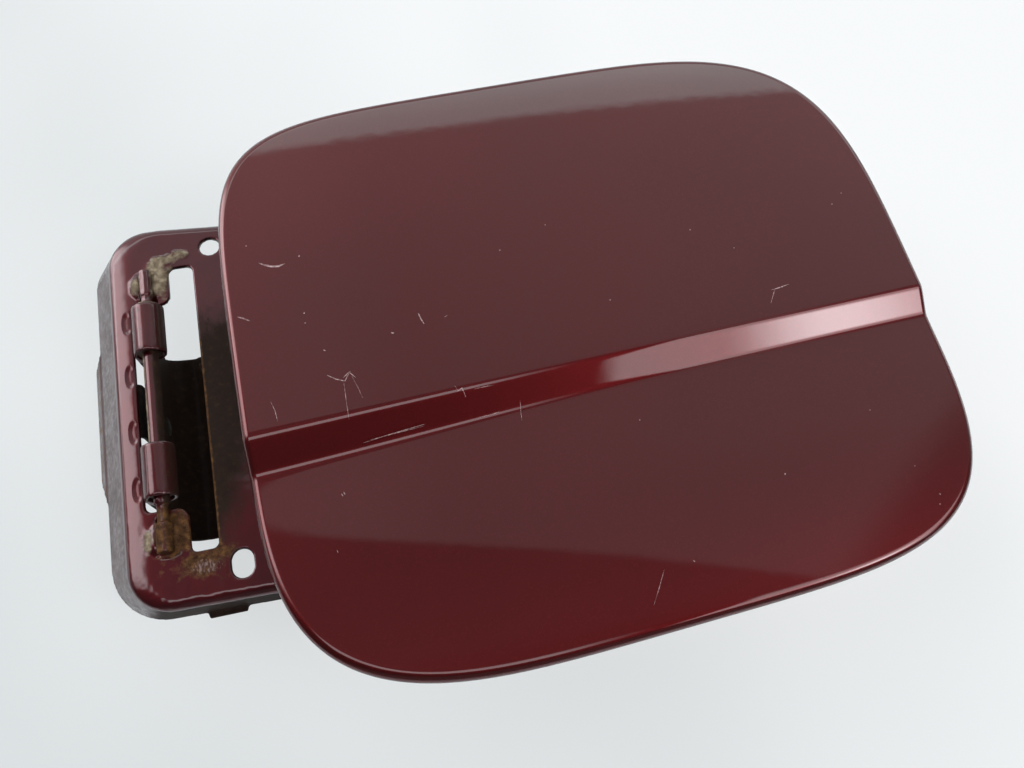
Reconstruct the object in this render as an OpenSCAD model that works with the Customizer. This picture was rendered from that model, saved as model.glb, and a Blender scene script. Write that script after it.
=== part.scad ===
// Car fuel door: a pressed lid on a gooseneck arm that turns on a pin in a flanged hinge base.
// X runs from the hinge to the latch, Y along the hinge pin, Z out of the car body. Millimetres.
// The origin is midway between the two fixing holes, on the inboard face of the base plate.

/* [Lid] */
// Lid centre, measured from the middle of the fixing holes towards the latch
lid_cx = 94.2; // [93:0.1:97]
// Lid centre along the hinge pin
lid_cy = -7.8; // [-10:0.1:-5]
// Reach of the lid from its centre towards the latch
lid_right = 90.3; // [86:0.1:96]
// Reach of the lid from its centre towards the hinge
lid_left = 87.6; // [85:0.1:88]
// Reach of the lid from its centre to the top edge
lid_top = 81.4; // [76:0.1:88]
// Reach of the lid from its centre to the bottom edge
lid_bottom = 73.8; // [70:0.1:80]
// Squareness of the latch-side top corner (2 is an ellipse, large is a rectangle)
corner_top_right = 3.8; // [3:0.1:6]
// Squareness of the hinge-side top corner
corner_top_left = 6; // [3:0.1:7]
// Squareness of the hinge-side bottom corner
corner_bottom_left = 3.9; // [3:0.1:6]
// Squareness of the latch-side bottom corner
corner_bottom_right = 4.3; // [3:0.1:6]
// Rise of the top and bottom edges and of the crease towards the latch, per mm
edge_slope = 0.0475; // [0.03:0.0005:0.06]
// Lean of the two upright edges, per mm
edge_lean = -0.018; // [-0.03:0.001:0]
// Height of the lid's rim above the inboard face of the base plate
rim_z = 17.6; // [16.5:0.1:20]
// Crown of the lid across the hinge direction
crown_x = 0.8; // [0.4:0.1:1.5]
// Crown of the lid along the hinge direction
crown_y = 2; // [1:0.1:3]
// Lid sheet thickness
lid_sheet = 0.8; // [0.7:0.05:0.9]
// Radius of the rolled rim
rim_r = 2; // [1.6:0.1:2.2]
// Width of the hem folded under the rim
hem_w = 7; // [5:0.1:8]

/* [Crease] */
// Upper line of the crease, measured from the lid centre
crease_line = -6.2; // [-10:0.1:-2]
// Width of the sloping band of the crease
crease_w = 9; // [7:0.1:11]
// Step down across the crease
crease_step = 3; // [2:0.1:3.2]
// How much of the step the lower panel wins back
crease_recover = 1.5; // [0.5:0.1:2]
// Length over which it is won back
crease_fade = 25; // [15:1:40]

/* [Inner panel] */
// Inner panel sheet thickness
inner_sheet = 0.7; // [0.6:0.05:0.8]
// Height of the inner panel's flat underside above the base plate's inboard face
inner_z = 11; // [10.8:0.1:11.2]
// Width of the flange held in the hem, measured from the rim
flange_w = 9; // [8.5:0.1:10]
// Distance from the rim to the edge of the flat
flat_inset = 16.5; // [15:0.1:18]
// Width of the lightening slots
slot_w = 17; // [14:0.5:19]
// Length of the lightening slots
slot_len = 84; // [70:1:90]
// Distance of the lightening slots from the lid centre
slot_off = 44; // [42:0.5:46]
// Diameter of the anti-flutter mastic pads
pad_d = 15; // [10:0.5:18]
// Spacing of the mastic pads towards the latch
pad_dx = 84; // [80:1:90]
// Spacing of the mastic pads along the hinge
pad_dy = 58; // [54:1:60]

/* [Hinge base] */
// Thickness of the base sheet
base_sheet = 1.6; // [1.4:0.1:1.8]
// Half height of the base plate along the pin
base_half = 51.8; // [51:0.1:56]
// Distance from the holes to the start of the left bend
base_left = 25.5; // [25:0.1:27]
// Distance from the holes to the free right edge
base_right = 10; // [9:0.1:10.5]
// Depth of the side wall below the inboard face
wall_depth = 11; // [9:0.1:12]
// Extra depth of the wall beside the pin
wall_extra = 3; // [2:0.1:4]
// Outward flare of the left wall over its depth
wall_flare = 4.9; // [4:0.1:6]
// Radius across the rounded bend
bend_w = 3.8; // [3:0.1:4.5]
// Corner radius of the plate's flat
plate_corner = 10; // [8:0.5:12]
// Corner radius of the wall's lower edge at the bottom corner
wall_corner = 15; // [12:0.5:16]
// Fall of the top edge towards the free right edge
top_fall = 2; // [0:0.1:2.5]
// How far the deep stretch of the left wall is turned out
lip_out = 2.4; // [1:0.1:3]
// Distance between the two fixing holes
hole_pitch = 88; // [84:0.5:90]
// Diameter of the round locating hole
hole_d = 5.3; // [5:0.1:6]
// Length of the adjusting slot, end to end
hole_slot = 7; // [6.2:0.1:8]
// Right edge of the window, left of the holes
window_right = 5.1; // [4.6:0.1:5.6]
// Width of the narrow slots at the two ends of the window
window_slot_w = 6.3; // [5.5:0.1:6.5]
// Half length of the window at its right side
window_half = 39; // [37:0.1:40]

/* [Hinge] */
// Pin axis, left of the holes
pin_x = 17; // [16.8:0.1:17.4]
// Pin axis above the inboard face of the base plate
pin_z = 2.8; // [2.7:0.1:3]
// Pin diameter
pin_d = 3.9; // [3.6:0.1:4]
// Diameter of the upper pin end
pin_top_d = 3.2; // [3:0.1:3.6]
// Diameter of the necks beside the pin ends
neck_d = 2.7; // [2.4:0.1:3]
// Outer diameter of the knuckles
knuckle_d = 8.1; // [8:0.05:8.4]
// Length of each knuckle
knuckle_len = 13.8; // [12:0.1:14]
// Upper end of the upper knuckle
knuckle_top = 27.3; // [26.5:0.1:27.6]
// Lower end of the lower knuckle
knuckle_bottom = -25; // [-25.6:0.1:-24]
// Outer diameter of the bearing bushes
bush_d = 6; // [5.8:0.1:6.2]
// Running clearance of the pin in the bushes, on the radius
run_clear = 0.05; // [0.03:0.01:0.08]

/* [Arm] */
// Thickness of the arm sheet
arm_sheet = 2; // [1.8:0.1:2.2]
// Depth of the gooseneck below the pin axis
arm_drop = 31; // [30.5:0.1:34]
// Height of the arm above the pin middle
arm_top = 24.8; // [24:0.1:26.5]
// Reach of the arm below the pin middle
arm_bottom = -30; // [-31:0.1:-27]
// Left face of the arm where it rises to the lid
arm_rise = 22.7; // [22.4:0.1:24]
// End of the arm's flange under the lid
arm_end = 86; // [76:1:92]
// Outer radius of the gooseneck on its lid side
neck_r = 27; // [25:0.5:28]
// Outer radius of the gooseneck on its pin side
heel_r = 9; // [8:0.5:10]

/* [Pop-up spring] */
// Spring leaf thickness
leaf_t = 0.6; // [0.5:0.05:0.8]
// Width of the spring tongue
leaf_w = 14.6; // [12:0.1:16]
// Middle of the spring tongue along the pin
leaf_y = 0.4; // [-1:0.1:2]
// How far the tongue reaches left of the leg
leaf_reach = 5; // [4:0.1:5.5]

/* [Latch side] */
// Striker blade, distance from the holes
striker_x = 158; // [150:0.5:160]
// Middle of the striker along the pin
striker_y = -5; // [-8:0.5:0]
// Depth of the striker tip below the inboard face of the base plate
striker_tip = 16; // [12:0.5:18]
// Width of the striker
striker_w = 18; // [16:0.5:20]
// Thickness of the striker sheet
striker_t = 2; // [1.6:0.1:2.2]
// Rubber buffers, distance from the holes
buffer_x = 152; // [148:0.5:154]
// Spacing of the rubber buffers along the pin
buffer_dy = 78; // [74:0.5:80]
// Height of the rubber buffers
buffer_h = 7; // [5:0.1:9]

/* [Hidden] */
paint = [0.36, 0.19, 0.20];
dark_paint = [0.22, 0.11, 0.12];
steel = [0.55, 0.53, 0.50];
rubber = [0.06, 0.06, 0.06];
mastic = [0.80, 0.78, 0.70];
$fn = 48;
// Gap left between pieces that are pressed or clamped together, and the overrun of a cutting tool
fit_gap = 0.02;
over = 1;
// Gap between the sheets in the hem
hem_gap = 0.15;
hem_t = 2 * lid_sheet + inner_sheet + 2 * hem_gap;
// Rows of the lid surface below, across and above the crease, and columns across the lid
rows_low = 10;
rows_crease = 6;
rows_up = 12;
cols = 24;
rows = rows_low + rows_crease + rows_up;
crease_low = crease_line - crease_w;
// Share of the half height at which a side edge turns into a top or bottom edge
corner_share = 0.86;
// Share of the crease band taken by each of its two rounded edges
crease_round = 0.22;

// Step profile: 0 above the crease, 1 below it, straight between two rounded edges
function ramp(s) = s <= 0 ? 0 : s >= 1 ? 1
    : s < crease_round ? s * s / (2 * crease_round * (1 - crease_round))
    : s < 1 - crease_round ? (s - crease_round / 2) / (1 - crease_round)
    : 1 - (1 - s) * (1 - s) / (2 * crease_round * (1 - crease_round));
function mix(a, b, s) = a + (b - a) * s;
// Distance above the crease direction through the lid centre
function across(x, y) = y - lid_cy - edge_slope * (x - lid_cx);
function crease_drop(v) = crease_step * ramp((crease_line - v) / crease_w)
    - crease_recover * (1 - exp(-pow(max(0, crease_low - v) / crease_fade, 1.5)));
// Height of the lid's outer surface
function skin_z(x, y) = rim_z - crease_drop(across(x, y))
    + crown_x * (1 - pow((x - lid_cx) / (0.5 * (lid_left + lid_right)), 2))
    + crown_y * (1 - pow((y - lid_cy) / (0.5 * (lid_top + lid_bottom)), 2));

// Half width of the lid outline at height v, on the latch side (side 1) or the hinge side (side -1)
function corner_n(side, v) = v > 0 ? (side > 0 ? corner_top_right : corner_top_left)
    : (side > 0 ? corner_bottom_right : corner_bottom_left);
function reach_u(side, inset) = (side > 0 ? lid_right : lid_left) - inset;
function reach_v(v, inset) = (v > 0 ? lid_top : lid_bottom) - inset;
function half_u(v, side, inset) = reach_u(side, inset)
    * pow(1 - pow(abs(v) / reach_v(v, inset), corner_n(side, v)), 1 / corner_n(side, v));
function half_v(u, up, inset) = reach_v(up, inset)
    * pow(1 - pow(abs(u) / reach_u(u, inset), corner_n(u, up)), 1 / corner_n(u, up));

// Height of surface row j, closer together towards the corners, and how far it bows out to the top or bottom edge
function row_v(j, inset) = j <= rows_low
    ? mix(-corner_share * (lid_bottom - inset), crease_low, 1 - cos(90 * j / rows_low))
    : j <= rows_low + rows_crease ? mix(crease_low, crease_line, (j - rows_low) / rows_crease)
    : mix(crease_line, corner_share * (lid_top - inset), sin(90 * (j - rows_low - rows_crease) / rows_up));
function row_bow(j) = j < rows_low ? -pow(1 - j / rows_low, 2)
    : j > rows_low + rows_crease ? pow((j - rows_low - rows_crease) / rows_up, 2) : 0;
function grid_uv(i, j, inset) = let(v = row_v(j, inset),
    u = mix(-half_u(v, -1, inset), half_u(v, 1, inset), (1 - cos(180 * i / cols)) / 2), bow = row_bow(j))
    [u, v + bow * (half_v(u, bow, inset) - abs(v))];
function lid_xy(uv) = let(x = (uv[0] + edge_lean * uv[1]) / (1 - edge_lean * edge_slope))
    [lid_cx + x, lid_cy + uv[1] + edge_slope * x];
function lid_point(i, j, inset, drop) = let(p = lid_xy(grid_uv(i, j, inset)))
    [p[0], p[1], skin_z(p[0], p[1]) - drop];
// The closed loop round the surface grid, as grid places
around = concat([for (i = [0 : cols - 1]) [i, 0]], [for (j = [0 : rows - 1]) [cols, j]],
    [for (i = [0 : cols - 1]) [cols - i, rows]], [for (j = [0 : rows - 1]) [0, rows - j]]);
loop_n = len(around);
function lid_loop(inset, drop) = [for (g = around) lid_point(g[0], g[1], inset, drop)];
function level_loop(inset, z) = [for (g = around)
    let(p = lid_xy(grid_uv(g[0], g[1], inset))) [p[0], p[1], z]];
function grid_index(g) = g[1] * (cols + 1) + g[0];
// Two triangles between neighbouring points of loop a and loop b, seen from outside
function band(a, b) = [for (k = [0 : loop_n - 1])
    let(n = (k + 1) % loop_n) each [[a[k], a[n], b[n]], [a[k], b[n], b[k]]]];
function span(start, count) = [for (k = [0 : count - 1]) start + k];

grid_n = (cols + 1) * (rows + 1);
grid_loop = [for (g = around) grid_index(g)];

// Outer skin: the crowned surface, the rolled rim, and the hem folded in under the inner panel
module lid_outer_panel() {
    rim_steps = 4;
    inner_r = rim_r - lid_sheet;
    section = concat(
        [for (k = [1 : rim_steps]) let(a = 90 * k / rim_steps) [rim_r * (1 - sin(a)), rim_r * (1 - cos(a))]],
        [[0.3 * lid_sheet, hem_t], [hem_w, hem_t], [hem_w, hem_t - lid_sheet], [lid_sheet, hem_t - lid_sheet],
            [rim_r - inner_r * sin(45), rim_r - inner_r * cos(45)]]);
    loops = [for (s = section) lid_loop(s[0], s[1])];
    points = concat(
        [for (j = [0 : rows], i = [0 : cols]) lid_point(i, j, rim_r, 0)],
        [for (l = loops) each l],
        [for (j = [0 : rows], i = [0 : cols]) lid_point(i, j, rim_r, lid_sheet)]);
    low = grid_n + len(section) * loop_n;
    rings = concat([grid_loop], [for (k = [0 : len(section) - 1]) span(grid_n + k * loop_n, loop_n)],
        [[for (g = grid_loop) low + g]]);
    cells = [for (j = [0 : rows - 1], i = [0 : cols - 1]) [grid_index([i, j]), grid_index([i, j + 1]),
        grid_index([i + 1, j + 1]), grid_index([i + 1, j])]];
    faces = concat(
        [for (c = cells) each [[c[0], c[1], c[2]], [c[0], c[2], c[3]]]],
        [for (k = [0 : len(rings) - 2]) each band(rings[k], rings[k + 1])],
        [for (c = cells) each [[low + c[2], low + c[1], low + c[0]], [low + c[3], low + c[2], low + c[0]]]]);
    color(paint) polyhedron(points, faces, convexity = 8);
}

// Inner panel: a flange held in the hem, a sloping wall and a flat that carries the arm and the latch parts
module lid_inner_sheet() {
    edge = lid_sheet + hem_gap + 1.5;
    top_drop = lid_sheet + hem_gap;
    low_drop = top_drop + inner_sheet;
    wall_w = flat_inset - flange_w;
    wall_steps = 4;
    top_z = inner_z + inner_sheet;
    slope = [for (k = [1 : wall_steps - 1]) k / wall_steps];
    // One loop part of the way down the wall, easing out of the flange and into the flat
    function wall_loop(s, drop, z) = let(e = s * s * (3 - 2 * s))
        [for (p = lid_loop(flange_w + wall_w * s, drop)) [p[0], p[1], mix(p[2], z, e)]];
    loops = concat(
        [level_loop(flat_inset, top_z)],
        [for (k = [len(slope) - 1 : -1 : 0]) wall_loop(slope[k], top_drop, top_z)],
        [lid_loop(flange_w, top_drop), lid_loop(edge, top_drop)],
        [lid_loop(edge, low_drop), lid_loop(flange_w, low_drop)],
        [for (s = slope) wall_loop(s, low_drop, inner_z)],
        [level_loop(flat_inset, inner_z)]);
    rings = [for (k = [0 : len(loops) - 1]) span(k * loop_n, loop_n)];
    last = rings[len(rings) - 1];
    faces = concat(
        [[for (k = [loop_n - 1 : -1 : 0]) rings[0][k]]],
        [for (k = [0 : len(rings) - 2]) each band(rings[k], rings[k + 1])],
        [last]);
    polyhedron([for (l = loops) each l], faces, convexity = 8);
}

// A slot with round ends along X, cut through the inner panel's flat
module flat_slot(x, y, length, width) {
    translate([x, y, inner_z - over]) {
        for (side = [-1, 1]) translate([side * (length - width) / 2, 0, 0])
            cylinder(d = width, h = inner_sheet + 2 * over);
        translate([-(length - width) / 2, -width / 2, 0]) cube([length - width, width, inner_sheet + 2 * over]);
    }
}

// The striker's two rivets, measured from the blade towards the hinge
outer_rivet_off = 8;
inner_rivet_off = 19;
rivet_d = 4;
buffer_stem_d = 6;

module lid_inner_panel() {
    color(dark_paint) difference() {
        lid_inner_sheet();
        for (side = [-1, 1]) flat_slot(lid_cx, lid_cy + side * slot_off, slot_len, slot_w);
        for (off = [outer_rivet_off, inner_rivet_off]) translate([striker_x - off, striker_y, inner_z - over])
            cylinder(d = rivet_d + 2 * fit_gap, h = inner_sheet + 2 * over);
        for (side = [-1, 1]) translate([buffer_x, lid_cy + side * buffer_dy / 2, inner_z - over])
            cylinder(d = buffer_stem_d + 2 * fit_gap, h = inner_sheet + 2 * over);
    }
}

// Mastic pads between the inner panel's flat and the skin
module mastic_pad(sx, sy) {
    x = lid_cx + sx * pad_dx / 2;
    y = lid_cy + sy * pad_dy / 2;
    r = pad_d / 2;
    lowest = min([for (a = [0 : 45 : 315]) skin_z(x + r * cos(a), y + r * sin(a))]);
    top = lowest - lid_sheet - hem_gap;
    color(mastic) translate([x, y, inner_z + inner_sheet]) cylinder(r = r, h = top - inner_z - inner_sheet);
}
module hinge_top_mastic_pad() { mastic_pad(-1, 1); }
module hinge_bottom_mastic_pad() { mastic_pad(-1, -1); }
module latch_top_mastic_pad() { mastic_pad(1, 1); }
module latch_bottom_mastic_pad() { mastic_pad(1, -1); }

// A thin outline of the base at one level: left edge, half height, top and bottom corner radius
module base_level(left, half, r_top, r_low, z) {
    right = base_right + over;
    low_fall = 0.35 * top_fall;
    translate([0, 0, z]) linear_extrude(0.01) {
        translate([r_top - left, half - r_top]) circle(r_top, $fn = 32);
        translate([r_low - left, r_low - half]) circle(r_low, $fn = 40);
        polygon([[r_top - left, half], [right - 24, half], [right, half - top_fall], [right, -half - low_fall],
            [r_low - left, -half]]);
    }
}
// The tray's outer form (inner 0) or the space inside its walls (inner 1)
module base_block(inner) {
    t = inner * base_sheet;
    top = base_sheet - t;
    bottom = -wall_depth - inner * over;
    flare = wall_flare * (wall_depth + inner * over) / wall_depth;
    turn = 0.3 * bend_w;
    flat_r = plate_corner - 0.5 * t;
    turn_r = plate_corner + 0.5 * turn - t;
    edge_r = plate_corner + turn - t;
    hull() {
        base_level(base_left - 0.2 * t, base_half - turn - t * 0.9, flat_r, flat_r, top - 0.01);
        base_level(base_left + 0.6 * bend_w - 0.6 * t, base_half - 0.1 * turn - t, turn_r, turn_r,
            top - 0.16 * bend_w);
        base_level(base_left + bend_w - t, base_half - t, edge_r, edge_r, top - 0.5 * bend_w);
        base_level(base_left + bend_w + flare - t, base_half + 0.1 - t, edge_r, wall_corner - t, bottom);
    }
}

window_left = pin_x + knuckle_d / 2 + 0.45;
window_top = knuckle_top + 1.1;
window_bottom = knuckle_bottom - 2.5;
lobe_r = 3;
saddle_y = [(window_half + window_top) / 2 + 0.8, (-window_half + window_bottom) / 2 - 1.4];
saddle_r = 4.4;
head_len = 7.4;
head_gap = 0.3;

// A rectangle with round corners, cut through the base sheet
module rounded_cut(x0, x1, y0, y1, r) {
    deep = base_sheet + 2 * over;
    translate([0, 0, -over]) {
        for (x = [x0 + r, x1 - r], y = [y0 + r, y1 - r]) translate([x, y, 0]) cylinder(r = r, h = deep);
        translate([x0 + r, y0, 0]) cube([x1 - x0 - 2 * r, y1 - y0, deep]);
        translate([x0, y0 + r, 0]) cube([x1 - x0, y1 - y0 - 2 * r, deep]);
    }
}
// Rounds the outer corner of a lobe beside the window
module lobe_corner(y, side) {
    x = -window_right - window_slot_w;
    translate([x - lobe_r, y, -over]) difference() {
        translate([0, side > 0 ? -over : -lobe_r, 0]) cube([lobe_r + over, lobe_r + over, base_sheet + 2 * over]);
        translate([0, side * lobe_r, -over]) cylinder(r = lobe_r, h = base_sheet + 4 * over);
    }
}

module hinge_base() {
    window_x = -window_right;
    saddle_h = base_sheet + 1;
    dent_gap = 1.5;
    dent_len = 6.3;
    tab_x = -11.5;
    tab_w = 9.4;
    tab_reach = 1.8;
    lip_low = -20;
    lip_high = 22.5;
    lip_slant = 3.5;
    wall_x = -base_left - bend_w - wall_flare;
    beyond = 2 * base_half;
    color(paint) difference() {
        union() {
            difference() {
                base_block(0);
                base_block(1);
            }
            // The deep stretch of the left wall, turned out below the rest
            hull() {
                translate([wall_x, lip_low, -wall_depth]) cube([base_sheet, lip_high - lip_low, 0.5]);
                translate([wall_x - lip_out, lip_low + 2 * lip_slant, -wall_depth - wall_extra])
                    cube([base_sheet, lip_high - lip_low - 3 * lip_slant, 0.5]);
            }
            for (y = saddle_y) translate([-pin_x, y, base_sheet / 2])
                cylinder(r = saddle_r, h = saddle_h - base_sheet / 2);
            translate([tab_x, -base_half - tab_reach, -wall_depth])
                cube([tab_w, tab_reach + base_sheet / 2, base_sheet]);
        }
        translate([base_right, -beyond / 2, -beyond / 4]) cube([beyond, beyond, beyond / 2]);
        rounded_cut(-window_left, window_x, window_bottom, window_top, 2);
        rounded_cut(window_x - window_slot_w, window_x, -window_half, window_half, 1.2);
        lobe_corner(window_top, 1);
        lobe_corner(window_bottom, -1);
        translate([0, hole_pitch / 2, -over]) cylinder(d = hole_d, h = base_sheet + 2 * over);
        for (side = [-1, 1]) translate([0, -hole_pitch / 2 + side * (hole_slot - hole_d) / 2, -over])
            cylinder(d = hole_d, h = base_sheet + 2 * over);
        translate([-hole_d / 2, -hole_pitch / 2 - (hole_slot - hole_d) / 2, -over])
            cube([hole_d, hole_slot - hole_d, base_sheet + 2 * over]);
        // Grooves that seat the two ends of the pin
        translate([-pin_x, window_top - over, pin_z]) rotate([-90, 0, 0])
            cylinder(d = pin_top_d + 2 * fit_gap, h = saddle_y[0] + head_len / 2 + head_gap - window_top + over);
        translate([-pin_x, saddle_y[1] - head_len / 2 - head_gap, pin_z]) rotate([-90, 0, 0])
            cylinder(d = pin_d + 2 * fit_gap, h = window_bottom + over - saddle_y[1] + head_len / 2 + head_gap);
        // Small dents pressed into the margin beside the window
        for (y = [24.3, 9.1, -6.2, -21.2]) translate([-window_left - dent_gap, y, base_sheet])
            scale([0.4, 1, 0.16]) sphere(d = dent_len);
    }
}

// One pin turned with necks, its two heads lying in the saddles
module hinge_pin() {
    shaft_low = knuckle_bottom - 1.2;
    shaft_high = knuckle_top + 0.8;
    head_top = saddle_y[0] - head_len / 2;
    head_bottom = saddle_y[1] + head_len / 2;
    color(paint) translate([-pin_x, 0, pin_z]) {
        translate([0, shaft_low, 0]) rotate([-90, 0, 0]) cylinder(d = pin_d, h = shaft_high - shaft_low);
        translate([0, head_bottom - over, 0]) rotate([-90, 0, 0])
            cylinder(d = neck_d, h = head_top - head_bottom + 2 * over);
        translate([0, head_top, 0]) rotate([-90, 0, 0]) cylinder(d = pin_top_d, h = head_len);
        translate([0, head_bottom - head_len, 0]) rotate([-90, 0, 0]) cylinder(d = pin_d, h = head_len);
    }
}

knuckle_r = knuckle_d / 2;
leg_left = -pin_x - knuckle_r;
arm_low = pin_z - arm_drop;
knuckles = [[knuckle_top - knuckle_len, knuckle_top], [knuckle_bottom, knuckle_bottom + knuckle_len]];
leaf_gap = 0.3;
upper_rivet_z = -9.5;
lower_rivet_z = -16;
spring_rivet_d = 3;
sink_d = 5;
sink_h = 1;

// Extrudes a drawing in X and Z from y0 to y1
module along_y(y0, y1) {
    translate([0, y1, 0]) rotate([90, 0, 0]) linear_extrude(y1 - y0) children();
}
// A quarter of a round bend in the X and Z plane, between y0 and y1; the signs choose the quarter
module bend(x, z, r, t, sx, sz, y0, y1) {
    intersection() {
        translate([x, y0, z]) rotate([-90, 0, 0]) difference() {
            cylinder(r = r, h = y1 - y0);
            translate([0, 0, -over]) cylinder(r = r - t, h = y1 - y0 + 2 * over);
        }
        translate([sx > 0 ? x : x - r - over, y0, sz > 0 ? z : z - r - over]) cube([r + over, y1 - y0, r + over]);
    }
}

// Gooseneck arm: two knuckles, a leg, the bend round the base strip and a flange under the lid
module hinge_arm() {
    heel_x = leg_left + heel_r;
    heel_z = arm_low + heel_r;
    rise_x = arm_rise + arm_sheet - neck_r;
    rise_z = arm_low + neck_r;
    top_r = 5;
    top_x = arm_rise + top_r;
    top_z = inner_z - top_r;
    notch_z = -7;
    waist = 2.5;
    width = arm_top - arm_bottom;
    tongue_x = top_x + 14;
    tongue_top = lid_cy + 22;
    tongue_low = lid_cy - 14;
    tongue_cut = 6;
    color(dark_paint) difference() {
        union() {
            for (k = knuckles) {
                translate([-pin_x, k[0], pin_z]) rotate([-90, 0, 0]) cylinder(r = knuckle_r, h = k[1] - k[0]);
                translate([leg_left, k[0], notch_z - over]) cube([arm_sheet, k[1] - k[0], pin_z - notch_z + over]);
            }
            intersection() {
                translate([leg_left, arm_bottom, heel_z])
                    cube([arm_sheet, knuckle_top - arm_bottom, notch_z - heel_z]);
                translate([leg_left - over, 0, 0]) rotate([90, 0, 90]) linear_extrude(arm_sheet + 2 * over)
                    polygon([[knuckle_bottom, notch_z], [knuckle_top, notch_z], [arm_top - waist, heel_z],
                        [arm_bottom, heel_z]]);
            }
            intersection() {
                bend(heel_x, heel_z, heel_r, arm_sheet, -1, -1, arm_bottom, arm_top);
                translate([leg_left - over, 0, 0]) rotate([90, 0, 90]) linear_extrude(heel_r + 2 * over)
                    polygon([[arm_bottom, heel_z], [arm_top - waist, heel_z], [arm_top, arm_low],
                        [arm_bottom, arm_low]]);
            }
            translate([heel_x, arm_bottom, arm_low]) cube([rise_x - heel_x, width, arm_sheet]);
            bend(rise_x, rise_z, neck_r, arm_sheet, 1, -1, arm_bottom, arm_top);
            translate([arm_rise, arm_bottom, rise_z]) cube([arm_sheet, width, top_z - rise_z]);
            bend(top_x, top_z, top_r, arm_sheet, -1, 1, arm_bottom, arm_top);
            translate([0, 0, inner_z - arm_sheet]) linear_extrude(arm_sheet) polygon([[top_x, arm_bottom],
                [tongue_x, arm_bottom], [arm_end - tongue_cut, tongue_low], [arm_end, tongue_low + tongue_cut],
                [arm_end, tongue_top - tongue_cut], [arm_end - tongue_cut, tongue_top],
                [tongue_x, arm_top], [top_x, arm_top]]);
        }
        for (k = knuckles) translate([-pin_x, k[0] - over, pin_z]) rotate([-90, 0, 0])
            cylinder(d = bush_d + 2 * fit_gap, h = k[1] - k[0] + 2 * over);
        for (z = [upper_rivet_z, lower_rivet_z]) translate([leg_left, leaf_y, z]) rotate([0, 90, 0]) {
            translate([0, 0, -over]) cylinder(d = spring_rivet_d + 2 * fit_gap, h = arm_sheet + 2 * over);
            translate([0, 0, arm_sheet - sink_h])
                cylinder(d1 = spring_rivet_d + 2 * fit_gap, d2 = sink_d + 2 * fit_gap, h = sink_h);
            translate([0, 0, arm_sheet]) cylinder(d = sink_d + 2 * fit_gap, h = over);
        }
    }
}

// Plain bearing bushes pressed into the knuckles
module bush(y0, y1) {
    color(steel) translate([-pin_x, y0, pin_z]) rotate([-90, 0, 0]) difference() {
        cylinder(d = bush_d, h = y1 - y0);
        translate([0, 0, -over]) cylinder(d = pin_d + 2 * run_clear, h = y1 - y0 + 2 * over);
    }
}
module upper_bush() { bush(knuckles[0][0] + 0.4, knuckles[0][1] + 0.5); }
module lower_bush() { bush(knuckles[1][0] + 1, knuckles[1][1] - 0.4); }

// Leaf spring on the leg; its tongue bears on the base's left margin and lifts the lid when the latch lets go
module pop_up_spring() {
    top = -leaf_gap - 0.3;
    turn_r = 2;
    x = leg_left - leaf_t;
    foot = lower_rivet_z - 3.4;
    y0 = leaf_y - leaf_w / 2;
    y1 = leaf_y + leaf_w / 2;
    color(dark_paint) difference() {
        union() {
            translate([x, y0, foot]) cube([leaf_t, leaf_w, top - turn_r - foot]);
            bend(x + leaf_t - turn_r, top - turn_r, turn_r, leaf_t, 1, 1, y0, y1);
            translate([x + leaf_t - leaf_reach, y0, top - leaf_t]) cube([leaf_reach - turn_r, leaf_w, leaf_t]);
        }
        for (z = [upper_rivet_z, lower_rivet_z]) translate([x - over, leaf_y, z]) rotate([0, 90, 0])
            cylinder(d = spring_rivet_d + 2 * fit_gap, h = leaf_t + 2 * over);
    }
}
// A rivet along X through the leaf and the leg: a low head on the leaf, a flush sunk head inside the leg
module spring_rivet(z) {
    head_h = 0.8;
    grip = leaf_t + arm_sheet;
    color(steel) translate([leg_left - leaf_t, leaf_y, z]) rotate([0, 90, 0]) {
        cylinder(d = spring_rivet_d, h = grip);
        translate([0, 0, -head_h]) cylinder(d = 2 * spring_rivet_d, h = head_h);
        translate([0, 0, grip - sink_h]) cylinder(d1 = spring_rivet_d, d2 = sink_d, h = sink_h);
    }
}
module upper_spring_rivet() { spring_rivet(upper_rivet_z); }
module lower_spring_rivet() { spring_rivet(lower_rivet_z); }

foot_len = 26;
backing_t = 1;

// Latch striker: a foot riveted under the flat and a blade with a slot for the latch bolt
module striker() {
    turn_r = 4;
    y0 = striker_y - striker_w / 2;
    y1 = striker_y + striker_w / 2;
    slot_y = 9;
    slot_z = 12;
    slot_low = -striker_tip + 5;
    tip_r = 5;
    color(steel) difference() {
        union() {
            translate([striker_x - foot_len, y0, inner_z - striker_t])
                cube([foot_len - turn_r, striker_w, striker_t]);
            bend(striker_x - turn_r, inner_z - turn_r, turn_r, striker_t, 1, 1, y0, y1);
            translate([striker_x - striker_t, y0, -striker_tip + tip_r])
                cube([striker_t, striker_w, inner_z - turn_r + striker_tip - tip_r]);
            translate([striker_x - striker_t, y0 + tip_r, -striker_tip])
                cube([striker_t, striker_w - 2 * tip_r, tip_r + over]);
            for (y = [y0 + tip_r, y1 - tip_r]) translate([striker_x - striker_t, y, -striker_tip + tip_r])
                rotate([0, 90, 0]) cylinder(r = tip_r, h = striker_t);
        }
        translate([striker_x - striker_t - over, striker_y - slot_y / 2, slot_low])
            cube([striker_t + 2 * over, slot_y, slot_z]);
        for (off = [outer_rivet_off, inner_rivet_off])
            translate([striker_x - off, striker_y, inner_z - striker_t - over])
            cylinder(d = rivet_d + 2 * fit_gap, h = striker_t + 2 * over);
    }
}
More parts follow.
